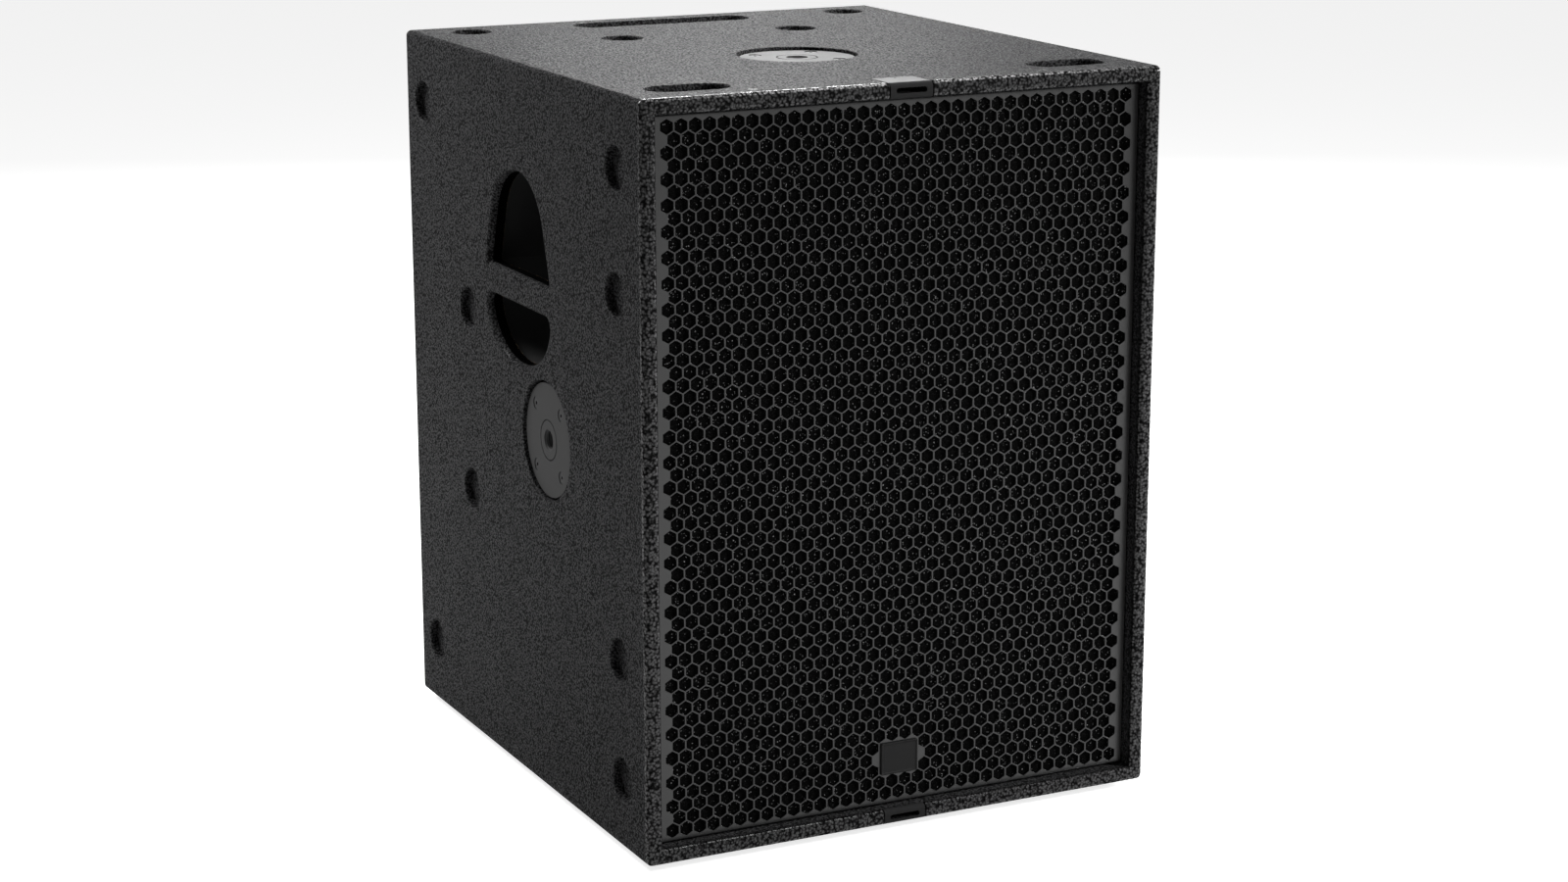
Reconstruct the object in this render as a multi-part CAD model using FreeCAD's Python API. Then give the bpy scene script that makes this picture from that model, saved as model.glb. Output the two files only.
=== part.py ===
import FreeCAD, Part
import math
import os

# Subwoofer cabinet: an 18 inch driver and a slot port in a plywood box, with stacking feet and recesses,
# side handles, threaded pole flanges and a perforated steel grille. Sizes are in millimetres.
# The cabinet is modelled with x = 0 on its middle, the front at -y and z = 0 on its underside.
# write_node then moves every piece so that the origin is the middle of the footprint, feet included.

V = FreeCAD.Vector
along_x = V(1, 0, 0)
along_y = V(0, 1, 0)
along_z = V(0, 0, 1)

# Cabinet
cabinet_width = 530.0
cabinet_depth = 585.0
cabinet_height = 700.0
panel_thickness = 15.0
edge_radius = 5.5
lip_radius = 4.5
press_gap = 0.3

# Baffle, port and bracing
baffle_setback = 72.0
baffle_thickness = 18.0
port_height = 95.0
port_length = 380.0
shelf_thickness = 18.0
fin_thickness = 15.0
fin_count = 2
brace_setback = 400.0
brace_thickness = 18.0
brace_margin = 60.0
brace_corner = 40.0
batten_size = 18.0
fleece_thickness = 20.0

# Feet and stacking recesses
foot_radius = 19.0
foot_tip_radius = 17.5
foot_height = 8.0
foot_bore_radius = 3.3
foot_counterbore_radius = 8.0
foot_floor = 3.5
foot_tip_round = 1.5
foot_from_side = 53.5
foot_from_front = 57.5
foot_from_back = 47.5
foot_from_end = 67.0
washer_radius = 7.0
washer_thickness = 1.0
foot_screw_radius = 3.0
foot_screw_head = 5.5
foot_screw_head_height = 2.6
foot_screw_grip = 11.5
recess_radius = 20.0
recess_depth = 7.5
recess_rim_radius = 2.0
front_slot_from_side = 31.0
front_slot_length = 79.0
back_slot_length = 195.0
spare_recess_from_front = 421.5
spare_recess_spread = 193.0
side_spare_from_front = 61.0
side_spare_from_end = 180.5
side_middle_from_front = 424.0
side_middle_spread = 185.0

# Pole flanges
flange_radius = 55.0
flange_pocket_radius = 57.5
flange_sink = 2.8
flange_thickness = 4.0
flange_from_front = 227.5
boss_radius = 20.0
boss_length = 32.0
boss_groove_width = 1.3
boss_groove_depth = 1.2
pole_bore_radius = 8.75
pole_bore_depth = 28.0
pole_mouth_chamfer = 1.8
flange_screw_spacing = 60.0
flange_screw_radius = 3.0
flange_screw_head = 6.0
flange_screw_tip = 2.0
flange_screw_sink = 0.6
flange_rim_radius = 1.2

# Handles
handle_width = 155.0
handle_centre_from_front = 292.5
grip_above_middle = 118.0
grip_height = 30.0
arch_height = 98.0
arch_radius = 64.0
lower_opening_height = 57.0
lower_corner_radius = 10.0
upper_corner_radius = 5.0
grip_edge_radius = 6.0
cup_gap = 4.0
cup_wall = 3.0
cup_flange = 13.0
cup_depth = 68.0
cup_screw_radius = 2.0
cup_screw_head = 4.0
cup_screw_head_height = 2.5
cup_screw_grip = 9.0

# Catch plates
catch_width = 43.0
catch_leg = 38.0
catch_thickness = 2.0
catch_side_gap = 1.2
catch_slot_width = 31.5
catch_slot_height = 5.0
catch_slot_from_face = 7.0
catch_slot_depth = 18.0
catch_screw_from_front = 32.0
catch_screw_radius = 2.0
catch_screw_head = 4.0
catch_screw_length = 11.0

# Grille, foam and badge
grille_setback = 14.0
grille_gap = 1.0
grille_sheet = 1.5
grille_rim = 14.0
grille_edge_radius = 2.5
grille_screw_from_front = 21.0
grille_side_screw_spread = 234.0
grille_top_screw_spread = 295.0
grille_screw_radius = 2.0
grille_screw_head = 4.6
grille_screw_tip = 8.0
insert_radius = 3.0
insert_length = 9.0
insert_head_radius = 4.2
insert_head = 0.6
foam_thickness = 10.0
badge_width = 38.6
badge_height = 31.0
badge_proud = 2.5
badge_corner = 0.8
badge_centre_height = 61.0
badge_stud_radius = 1.5
badge_stud_spacing = 26.0
badge_stud_length = 5.0
push_nut_radius = 3.5
push_nut_thickness = 0.8

# Driver: y is counted back from the front face of the baffle
driver_above_middle = 18.5
frame_radius = 231.0
frame_land = 19.0
frame_thickness = 12.0
basket_wall = 5.0
basket_depth = 75.0
pot_radius = 108.0
ledge_width = 14.0
pot_depth = 28.0
pot_floor = 8.0
pot_floor_bore = 45.0
basket_windows = 8
window_front = 8.0
window_back_margin = 6.0
window_pot_gap = 2.0
window_reach = 20.0
spoke_share = 0.3
seal_thickness = 1.2
plate_radius = 100.0
plate_thickness = 10.0
magnet_radius = 110.0
magnet_bore = 55.0
magnet_thickness = 30.0
magnet_chamfer = 2.0
back_plate_thickness = 12.0
back_plate_chamfer = 3.0
pole_radius = 37.0
vent_radius = 12.0
pole_clearance = 0.5
coil_clearance = 0.6
former_wall = 0.5
winding_thickness = 1.2
winding_length = 24.0
former_tail = 2.0
cone_clearance = 16.0
cone_neck_depth = 60.0
cone_wall = 2.0
neck_width = 3.0
neck_length = 4.0
dust_cap_radius = 62.0
dust_cap_rise = 18.0
dust_cap_wall = 1.2
roll_radius = 11.0
surround_wall = 1.2
surround_inner_land = 7.0
surround_outer_land = 7.0
surround_inset = 14.0
front_seal_thickness = 4.0
spider_edge_gap = 1.0
spider_land = 3.0
spider_wall = 0.8
spider_wave = 3.0
spider_waves = 6
motor_screw_count = 8
motor_screw_circle = 70.0
motor_screw_radius = 2.5
motor_screw_head = 4.25
motor_screw_head_height = 4.0
motor_screw_grip = 4.0
driver_bolt_count = 8
driver_bolt_inset = 7.0
driver_bolt_radius = 3.0
driver_bolt_head = 5.0
driver_bolt_head_height = 6.0
driver_bolt_tip = 5.3

# Screw heads: the driving socket as a share of the shank's radius and of the head's height
flat_head_socket = 0.55
round_head_socket = 0.7
round_head_socket_depth = 0.6

# Tee nuts
tee_nut_flange_radius = 9.0
tee_nut_flange = 1.5
tee_nut_barrel_radius = 4.0
tee_nut_barrel = 6.0

# Rear terminal dish
dish_width = 150.0
dish_opening_height = 100.0
dish_depth = 45.0
dish_wall = 2.0
dish_rim = 18.0
dish_rim_thickness = 2.5
dish_rim_corner = 4.0
dish_cup_corner = 6.0
dish_seal_thickness = 1.0
dish_gap = 1.0
dish_screw_radius = 2.0
dish_screw_head = 3.8
dish_screw_tip = 2.0
socket_spread = 64.0
socket_flange_width = 26.0
socket_flange_height = 31.0
socket_flange_thickness = 2.0
socket_flange_corner = 3.0
socket_radius = 12.0
socket_bore_radius = 10.5
socket_core_radius = 4.2
socket_core_setback = 1.5
socket_depth = 24.0
socket_wall = 2.0
socket_screw_x = 19.0
socket_screw_z = 24.0
socket_screw_radius = 1.5
socket_screw_head = 2.6
socket_screw_head_height = 1.6
socket_screw_length = 7.0
tag_length = 5.0
tag_thickness = 1.0
tag_from_pot = 11.0

# Wiring
terminal_width = 30.0
terminal_thickness = 14.0
terminal_height = 18.0
plug_thickness = 12.0
plug_length = 26.0
plug_top = 8.0
plug_width = 14.0
plug_edge_radius = 2.0
plug_hole_depth = 10.0
cable_diameter = 6.0
tinsel_diameter = 2.4
tinsel_spread = 16.0
tinsel_landing = 84.0
clip_wall = 1.5
clip_width = 12.0
clip_foot = 14.0
clip_lap = 0.5
clip_screw_radius = 1.5
clip_screw_length = 9.5
clip_screw_head = 3.0
clip_screw_head_height = 2.0

left = -cabinet_width / 2
right = cabinet_width / 2
front = -cabinet_depth / 2
back = cabinet_depth / 2
inner_left = left + panel_thickness
inner_right = right - panel_thickness
inner_bottom = panel_thickness
inner_top = cabinet_height - panel_thickness
inner_back = back - panel_thickness
baffle_front = front + baffle_setback
baffle_back = baffle_front + baffle_thickness
shelf_bottom = inner_bottom + port_height
shelf_top = shelf_bottom + shelf_thickness
shelf_back = baffle_front + port_length
brace_front = front + brace_setback
handle_y = front + handle_centre_from_front
middle_height = cabinet_height / 2
grip_bottom = middle_height + grip_above_middle
grip_top = grip_bottom + grip_height
arch_top = grip_top + arch_height
lower_bottom = grip_bottom - lower_opening_height
dish_height = middle_height
flange_y = front + flange_from_front
motor_front = basket_depth + pot_depth
driver_height = (shelf_top + inner_top) / 2 + driver_above_middle
cutout_radius = frame_radius - frame_land
driver_bolt_circle = frame_radius - driver_bolt_inset
surround_outer_radius = frame_radius - surround_inset
cone_radius = surround_outer_radius - surround_outer_land - 2 * roll_radius
frame_inner_radius = cone_radius + cone_clearance
pot_inner_radius = pot_radius - ledge_width
spider_radius = pot_radius - basket_wall - spider_edge_gap
former_radius = pole_radius + pole_clearance
winding_radius = former_radius + former_wall + winding_thickness
gap_radius = winding_radius + coil_clearance
frame_shift = V(-foot_height / 2, 0, foot_height)
overshoot = 1.0


def write_node(name, solids):
    """Export one sub-part, moved to the frame with the footprint's middle as origin."""
    shape = solids[0].copy() if len(solids) == 1 else Part.makeCompound([solid.copy() for solid in solids])
    shape.translate(frame_shift)
    shape.exportStep("parts/" + name + ".step")
    print(name, len(solids), "solids")


def block(x0, x1, y0, y1, z0, z1):
    return Part.makeBox(x1 - x0, y1 - y0, z1 - z0, V(x0, y0, z0))


def rod(start, direction, radius, length):
    return Part.makeCylinder(radius, length, start, direction)


def tapered(start, direction, radius, end_radius, length):
    return Part.makeCone(radius, end_radius, length, start, direction)


def tube(start, direction, radius, bore, length):
    return rod(start, direction, radius, length).cut(rod(start, direction, bore, length))


def joined(solids):
    whole = solids[0]
    for solid in solids[1:]:
        whole = whole.fuse(solid)
    return whole.removeSplitter()


def prism(points, direction):
    return Part.Face(Part.makePolygon(points + [points[0]])).extrude(direction)


def rounded_plate(width, height, radius, low, thickness):
    """Plate in the x-z plane with rounded corners, its lowest corner at low, thickened along +y."""
    plate = Part.makeBox(width, thickness, height, low)
    corners = [edge for edge in plate.Edges if abs(edge.tangentAt(edge.FirstParameter).y) > 0.99]
    return plate.makeFillet(radius, corners)


def countersunk_screw(face_point, inward, radius, head_radius, length):
    """Flat head flush with face_point, shank running inward, with a hexagon socket."""
    head_height = head_radius - radius
    head = tapered(face_point, inward, head_radius, radius, head_height)
    shank = rod(face_point, inward, radius, length)
    socket = rod(face_point, inward, radius * flat_head_socket, head_height)
    return head.fuse(shank).removeSplitter().cut(socket)


def countersunk_hole(face_point, inward, radius, head_radius, length):
    """Clearance for a countersunk screw."""
    hole_radius = radius + press_gap
    sink_radius = head_radius + press_gap
    start = face_point - inward * overshoot
    sink = tapered(face_point, inward, sink_radius, hole_radius, sink_radius - hole_radius)
    return joined([rod(start, inward, hole_radius, length + overshoot), sink,
                   rod(start, inward, sink_radius, overshoot)])


def round_head_screw(seat_point, inward, radius, head_radius, head_height, length):
    """Head standing out from seat_point, shank running inward."""
    head = rod(seat_point - inward * head_height, inward, head_radius, head_height)
    socket = rod(seat_point - inward * head_height, inward, radius * round_head_socket,
                 head_height * round_head_socket_depth)
    return head.fuse(rod(seat_point, inward, radius, length)).removeSplitter().cut(socket)


def tee_nut(inner_face_point, outward, bore):
    """Flange on the inner face of a panel, barrel reaching outward into the panel."""
    flange = rod(inner_face_point - outward * tee_nut_flange, outward, tee_nut_flange_radius,
                 tee_nut_flange)
    barrel = rod(inner_face_point, outward, tee_nut_barrel_radius, tee_nut_barrel)
    through = rod(inner_face_point - outward * (tee_nut_flange + overshoot), outward, bore,
                  tee_nut_flange + tee_nut_barrel + 2 * overshoot)
    return flange.fuse(barrel).removeSplitter().cut(through)


def recess(face_point, inward):
    return rod(face_point - inward * overshoot, inward, recess_radius, recess_depth + overshoot)


# Places that several pieces share

def top_foot_places():
    """Foot positions in plan, used for the feet and for the recesses that take them."""
    x = right - foot_from_side
    ys = (front + foot_from_front, back - foot_from_back)
    return [(sign * x, y) for y in ys for sign in (-1, 1)]


def side_foot_places():
    ys = (front + foot_from_front, back - foot_from_back)
    zs = (foot_from_end, cabinet_height - foot_from_end)
    return [(y, z) for y in ys for z in zs]


def flange_screw_offsets():
    half = flange_screw_spacing / 2
    return [(a, b) for a in (-half, half) for b in (-half, half)]


def pole_flange_mounts():
    """Name, face centre, inward direction and the two directions that lie in the face."""
    top = ("pole_flange_top", V(0, flange_y, cabinet_height), V(0, 0, -1), along_x, along_y)
    side = ("pole_flange_side", V(left, flange_y, middle_height), V(1, 0, 0), along_y, along_z)
    return [top, side]


def grille_screw_places():
    """Point on the outer face and inward direction of each grille screw."""
    y = front + grille_screw_from_front
    places = []
    for step in (-1, 0, 1):
        z = middle_height + step * grille_side_screw_spread
        places.append((V(left, y, z), V(1, 0, 0)))
        places.append((V(right, y, z), V(-1, 0, 0)))
    for side in (-1, 1):
        x = side * grille_top_screw_spread / 2
        places.append((V(x, y, cabinet_height), V(0, 0, -1)))
        places.append((V(x, y, 0), V(0, 0, 1)))
    return places


def cup_screw_places():
    """Points in the y-z plane on the middle of the handle cup's flange."""
    reach = cup_gap + cup_wall + cup_flange / 2
    middle = (grip_bottom + grip_top) / 2
    half = handle_width / 2 + reach
    return [(handle_y - half, middle), (handle_y + half, middle),
            (handle_y, arch_top + reach), (handle_y, lower_bottom - reach)]


def dish_screw_places():
    x = dish_width / 2 + dish_rim / 2
    z = dish_opening_height / 2 + dish_rim / 2
    return [(a, dish_height + b) for a in (-x, 0, x) for b in (-z, z)]


def driver_bolt_places():
    step = 360 / driver_bolt_count
    angles = [math.radians(step * (index + 0.5)) for index in range(driver_bolt_count)]
    return [(driver_bolt_circle * math.cos(a),
             driver_height + driver_bolt_circle * math.sin(a)) for a in angles]


# Handle shapes

def upper_handle_prism(x, length, growth, base):
    """Arch over a flat base: a circle with straight flanks that flare to the handle's full width."""
    radius = arch_radius + growth
    centre_z = arch_top - arch_radius
    half = handle_width / 2 + growth
    drop = centre_z - base
    reach = math.hypot(half, drop)
    angle = math.acos(radius / reach) - math.atan2(drop, half)
    side = V(x, handle_y + radius * math.cos(angle), centre_z + radius * math.sin(angle))
    crown = V(x, handle_y, centre_z + radius)
    other = V(x, handle_y - radius * math.cos(angle), centre_z + radius * math.sin(angle))
    low = V(x, handle_y + half, base)
    low_other = V(x, handle_y - half, base)
    edges = [Part.makeLine(low_other, low), Part.makeLine(low, side),
             Part.Arc(side, crown, other).toShape(),
             Part.makeLine(other, low_other)]
    return Part.Face(Part.Wire(edges)).extrude(V(length, 0, 0))


def lower_handle_prism(x, length, growth):
    """Half ellipse below the grip bar."""
    centre = V(x, handle_y, grip_bottom)
    major = V(x, handle_y + handle_width / 2 + growth, grip_bottom)
    minor = V(x, handle_y, grip_bottom + grip_bottom - lower_bottom + growth)
    ellipse = Part.Ellipse(major, minor, centre)
    half = Part.Arc(ellipse, math.pi, 2 * math.pi).toShape()
    if half.valueAt((half.FirstParameter + half.LastParameter) / 2).z > grip_bottom:
        half = Part.Arc(ellipse, 0, math.pi).toShape()
    chord = Part.makeLine(half.Vertexes[-1].Point, half.Vertexes[0].Point)
    return Part.Face(Part.Wire([half, chord])).extrude(V(length, 0, 0))


def handle_opening_tools(outer_x, inward):
    """Cutters for both openings of one handle, through the panel and past both faces."""
    x = outer_x - inward * overshoot
    length = inward * (panel_thickness + 2 * overshoot)

    def long_edge_at(solid, height):
        edges = []
        for edge in solid.Edges:
            straight = abs(edge.tangentAt(edge.FirstParameter).x) > 0.99
            if straight and abs(edge.Vertexes[0].Point.z - height) < 0.5:
                edges.append(edge)
        return edges

    upper = upper_handle_prism(x, length, 0, grip_top)
    upper = upper.makeFillet(upper_corner_radius, long_edge_at(upper, grip_top))
    lower = lower_handle_prism(x, length, 0)
    lower = lower.makeFillet(lower_corner_radius, long_edge_at(lower, grip_bottom))
    return [upper, lower]


def cup_body(x, length, growth):
    """Solid that follows both handle openings and the grip bar between them, grown outward."""
    half = handle_width / 2 + growth
    x0, x1 = sorted((x, x + length))
    middle = block(x0, x1, handle_y - half, handle_y + half, grip_bottom, grip_top)
    return joined([upper_handle_prism(x, length, growth, grip_top), middle,
                   lower_handle_prism(x, length, growth)])


# Panels

def lip_cutter(radius):
    """Rounds the box's inner front edges; a smaller radius keeps the same arc centres."""
    axis_y = front + lip_radius
    x0, x1 = inner_left - lip_radius, inner_right + lip_radius
    z0, z1 = inner_bottom - lip_radius, inner_top + lip_radius
    rounds = [rod(V(x, axis_y, z0 - overshoot), along_z, radius, z1 - z0 + 2 * overshoot) for x in (x0, x1)]
    rounds += [rod(V(x0 - overshoot, axis_y, z), along_x, radius, x1 - x0 + 2 * overshoot) for z in (z0, z1)]
    return block(x0, x1, front - overshoot, axis_y, z0, z1).cut(joined(rounds))


def cover_panel(low_z, outer_z):
    """Top or bottom panel, rounded on its outer edges and upright corners."""
    panel = block(left, right, front, back, low_z, low_z + panel_thickness)

    edges = []
    for edge in panel.Edges:
        points = [vertex.Point for vertex in edge.Vertexes]
        upright = abs(points[0].z - points[1].z) > 1
        if upright or all(abs(point.z - outer_z) < 0.01 for point in points):
            edges.append(edge)
    return panel.makeFillet(edge_radius, edges).cut(lip_cutter(lip_radius))


def side_panel(outer_x):
    """Side panel between the top and bottom panels, rounded on its upright outer edges."""
    inner_x = outer_x - math.copysign(panel_thickness, outer_x)
    x0, x1 = sorted((outer_x, inner_x))
    panel = block(x0, x1, front, back, inner_bottom, inner_top)
    edges = []
    for edge in panel.Edges:
        points = [vertex.Point for vertex in edge.Vertexes]
        upright = abs(points[0].z - points[1].z) > 1
        if upright and abs(points[0].x - outer_x) < 0.01:
            edges.append(edge)
    return panel.makeFillet(edge_radius, edges).cut(lip_cutter(lip_radius))


def with_rounded_handle(panel, outer_x, inward):
    """Cut both handle openings and round their rims on the outer face."""
    panel = panel.cut(Part.makeCompound(handle_opening_tools(outer_x, inward)))
    low = V(outer_x, handle_y - handle_width, lower_bottom - overshoot)
    rims = []
    for edge in panel.Edges:
        box = edge.BoundBox
        on_face = abs(box.XMin - outer_x) < 0.01 and abs(box.XMax - outer_x) < 0.01
        near = box.YMin > low.y and box.YMax < handle_y + handle_width
        if on_face and near and box.ZMin > low.z and box.ZMax < arch_top + overshoot:
            rims.append(edge)
    return panel.makeFillet(grip_edge_radius, rims)


def flange_cutters(face_point, inward, across, along):
    """Pocket, boss hole and screw holes for a pole flange."""
    pocket = rod(face_point - inward * overshoot, inward, flange_pocket_radius,
                 flange_sink + flange_thickness + overshoot)
    boss = rod(face_point, inward, boss_radius + press_gap, panel_thickness + overshoot)
    cutters = [pocket, boss]
    for a, b in flange_screw_offsets():
        start = face_point + across * a + along * b
        cutters.append(rod(start, inward, flange_screw_radius + press_gap, panel_thickness + overshoot))
        cutters.append(rod(start + inward * (panel_thickness - tee_nut_barrel - press_gap), inward,
                           tee_nut_barrel_radius + press_gap, tee_nut_barrel + press_gap + overshoot))
    return cutters


def grille_screw_cutters():
    cutters = []
    for point, inward in grille_screw_places():
        cutters.append(countersunk_hole(point, inward, grille_screw_radius, grille_screw_head,
                                        panel_thickness + overshoot))
    return cutters


def foot_screw_cutters(places):
    return [rod(point - inward * overshoot, inward, foot_screw_radius, foot_screw_grip + 2 * overshoot)
            for point, inward in places]


def bottom_foot_seats():
    return [(V(x, y, 0), V(0, 0, 1)) for x, y in top_foot_places()]


def side_foot_seats():
    return [(V(right, y, z), V(-1, 0, 0)) for y, z in side_foot_places()]


def slot_cutter(x0, x1, y):
    """Long stacking recess in the top face, with round ends."""
    low = cabinet_height - recess_depth
    straight = block(x0 + recess_radius, x1 - recess_radius, y - recess_radius, y + recess_radius,
                     low, cabinet_height + overshoot)
    ends = [rod(V(x, y, low), along_z, recess_radius, recess_depth + overshoot)
            for x in (x0 + recess_radius, x1 - recess_radius)]
    return joined([straight] + ends)


def top_recess_cutters():
    down = V(0, 0, -1)
    back_y = back - foot_from_back
    front_y = front + foot_from_front
    cutters = [recess(V(x, back_y, cabinet_height), down)
               for x in (left + foot_from_side, right - foot_from_side)]
    for side in (-1, 1):
        point = V(side * spare_recess_spread / 2, front + spare_recess_from_front, cabinet_height)
        cutters.append(recess(point, down))
    cutters.append(slot_cutter(-back_slot_length / 2, back_slot_length / 2, back_y))
    slot_start = left + front_slot_from_side
    cutters.append(slot_cutter(slot_start, slot_start + front_slot_length, front_y))
    cutters.append(slot_cutter(-slot_start - front_slot_length, -slot_start, front_y))
    return cutters


def side_recess_cutters():
    inward = V(1, 0, 0)
    places = side_foot_places()
    for z in (side_spare_from_end, cabinet_height - side_spare_from_end):
        places.append((front + side_spare_from_front, z))
    for side in (-1, 1):
        places.append((front + side_middle_from_front, middle_height + side * side_middle_spread / 2))
    return [recess(V(left, y, z), inward) for y, z in places]


def with_rounded_rims(panel, face_point, normal):
    """Round the rims of the stacking recesses and of the flange pocket on a panel's outer face."""
    for mouth_radius, rim_radius in ((recess_radius, recess_rim_radius),
                                     (flange_pocket_radius, flange_rim_radius)):
        rims = []
        for edge in panel.Edges:
            box = edge.BoundBox
            corners = V(box.XMin, box.YMin, box.ZMin), V(box.XMax, box.YMax, box.ZMax)
            away = max(abs((corner - face_point).dot(normal)) for corner in corners)
            if away > 0.01 or edge.Length < mouth_radius:
                continue
            start = edge.FirstParameter
            along = start + (edge.LastParameter - start) * 0.3
            straight = edge.tangentAt(start).cross(edge.tangentAt(along)).Length < 0.001
            if not straight and abs(edge.curvatureAt(along) * mouth_radius - 1) < 0.001:
                rims.append(edge)
        panel = panel.makeFillet(rim_radius, rims)
    return panel


def catch_slot_cutter(face_z, inward, depth):
    """Slot with round ends, through the front leg of a catch plate."""
    z = face_z + inward * catch_slot_from_face
    radius = catch_slot_height / 2
    end_x = catch_slot_width / 2 - radius
    start_y = front - overshoot
    length = depth + overshoot
    straight = block(-end_x, end_x, start_y, start_y + length, z - radius, z + radius)
    return joined([straight] + [rod(V(x, start_y, z), along_y, radius, length) for x in (-end_x, end_x)])


def catch_cutters(face_z, inward):
    """Pocket for the catch plate, the deep slot behind it and its screw hole."""
    half = catch_width / 2 + catch_side_gap
    outside = face_z - inward * overshoot
    z0, z1 = sorted((outside, face_z + inward * catch_thickness))
    leg = block(-half, half, front - overshoot, front + catch_leg + press_gap, z0, z1)
    z2, z3 = sorted((outside, face_z + inward * (panel_thickness + overshoot)))
    nose = block(-half, half, front - overshoot, front + catch_thickness, z2, z3)
    lip = block(-half, half, front - overshoot, front + lip_radius, z2, z3)
    lip = lip.common(lip_cutter(lip_radius - catch_thickness - press_gap))
    slot = catch_slot_cutter(face_z, inward, catch_slot_depth)
    screw = rod(V(0, front + catch_screw_from_front, face_z), along_z * inward, catch_screw_radius,
                catch_screw_length)
    return [leg, nose, lip, slot, screw]


def cup_screw_cutters(outer_x, inward):
    """Pilot holes for the handle cup screws, blind from the inner face."""
    start_x = outer_x + inward * panel_thickness
    return [rod(V(start_x + inward * overshoot, y, z), along_x * -inward, cup_screw_radius,
                cup_screw_grip + 2 * overshoot) for y, z in cup_screw_places()]


def make_top_panel():
    panel = cover_panel(inner_top, cabinet_height)
    name, point, inward, across, along = pole_flange_mounts()[0]
    cutters = top_recess_cutters() + flange_cutters(point, inward, across, along)
    cutters += catch_cutters(cabinet_height, -1) + grille_screw_cutters()
    return with_rounded_rims(panel.cut(Part.makeCompound(cutters)), point, inward)


def make_bottom_panel():
    panel = cover_panel(0, 0)
    cutters = foot_screw_cutters(bottom_foot_seats()) + catch_cutters(0, 1) + grille_screw_cutters()
    return panel.cut(Part.makeCompound(cutters))


def make_left_panel():
    panel = with_rounded_handle(side_panel(left), left, 1)
    name, point, inward, across, along = pole_flange_mounts()[1]
    cutters = side_recess_cutters() + flange_cutters(point, inward, across, along)
    cutters += grille_screw_cutters() + cup_screw_cutters(left, 1)
    return with_rounded_rims(panel.cut(Part.makeCompound(cutters)), point, inward)


def make_right_panel():
    panel = with_rounded_handle(side_panel(right), right, -1)
    cutters = foot_screw_cutters(side_foot_seats()) + grille_screw_cutters()
    cutters += cup_screw_cutters(right, -1)
    return panel.cut(Part.makeCompound(cutters))


def make_rear_panel():
    panel = block(inner_left, inner_right, inner_back, back, inner_bottom, inner_top)
    half_x = dish_width / 2
    half_z = dish_opening_height / 2
    rebate = dish_rim_thickness + dish_seal_thickness
    rim_x = half_x + dish_rim + dish_gap
    rim_z = half_z + dish_rim + dish_gap
    cutters = [block(-half_x, half_x, inner_back - overshoot, back + overshoot,
                     dish_height - half_z, dish_height + half_z),
               block(-rim_x, rim_x, back - rebate, back + overshoot, dish_height - rim_z,
                     dish_height + rim_z)]
    for x, z in dish_screw_places():
        cutters.append(rod(V(x, back, z), V(0, -1, 0), dish_screw_radius,
                           panel_thickness - dish_screw_tip))
    return panel.cut(Part.makeCompound(cutters))


def make_baffle():
    baffle = block(inner_left, inner_right, baffle_front, baffle_back, shelf_top, inner_top)
    cutters = [rod(V(0, baffle_front - overshoot, driver_height), along_y, cutout_radius,
                   baffle_thickness + 2 * overshoot)]
    for x, z in driver_bolt_places():
        cutters.append(rod(V(x, baffle_front - overshoot, z), along_y, driver_bolt_radius + press_gap,
                           baffle_thickness + 2 * overshoot))
        cutters.append(rod(V(x, baffle_back - tee_nut_barrel - press_gap, z), along_y,
                           tee_nut_barrel_radius + press_gap, tee_nut_barrel + press_gap + overshoot))
    return baffle.cut(Part.makeCompound(cutters))


def make_shelf():
    shelf = block(inner_left, inner_right, baffle_front, shelf_back, shelf_bottom, shelf_top)
    pilots = []
    for place in clip_places():
        pilots.append(rod(clip_screw_seat(place), V(0, 0, -1), clip_screw_radius,
                          clip_screw_length + overshoot))
    return shelf.cut(Part.makeCompound(pilots))


def make_fins():
    """Upright fins that carry the shelf and divide the port into equal ducts."""
    pitch = (inner_right - inner_left + fin_thickness) / (fin_count + 1)
    fins = []
    for index in range(fin_count):
        x = inner_left + pitch * (index + 1) - fin_thickness
        fins.append(block(x, x + fin_thickness, baffle_front, shelf_back, inner_bottom, shelf_bottom))
    return fins


def make_brace():
    brace = block(inner_left, inner_right, brace_front, brace_front + brace_thickness, shelf_top,
                  inner_top)
    width = inner_right - inner_left - 2 * brace_margin
    height = inner_top - shelf_top - 2 * brace_margin
    low = V(inner_left + brace_margin, brace_front - overshoot, shelf_top + brace_margin)
    window = rounded_plate(width, height, brace_corner, low, brace_thickness + 2 * overshoot)
    cable_pass = rod(V(shelf_corners()[2].x, brace_front - overshoot, cable_on_shelf()), along_y,
                     2 * cable_diameter, brace_thickness + 2 * overshoot)
    return brace.cut(Part.makeCompound([window, cable_pass]))


def make_battens():
    """Upright glue strips behind the baffle, one at each side."""
    y0 = baffle_back
    left_strip = block(inner_left, inner_left + batten_size, y0, y0 + batten_size, shelf_top, inner_top)
    right_strip = block(inner_right - batten_size, inner_right, y0, y0 + batten_size, shelf_top,
                        inner_top)
    return [left_strip, right_strip]


def make_fleece():
    """Damping fleece on the rear panel, cut out around the terminal dish."""
    gap = press_gap
    half_x = dish_width / 2 + 10
    half_z = dish_opening_height / 2 + 10
    fleece = block(inner_left + gap, inner_right - gap, inner_back - gap - fleece_thickness,
                   inner_back - gap,
                   shelf_top, inner_top - gap)
    hole = block(-half_x, half_x, inner_back - 2 * fleece_thickness, inner_back + overshoot,
                 dish_height - half_z, dish_height + half_z)
    return fleece.cut(hole)


# Feet

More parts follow.
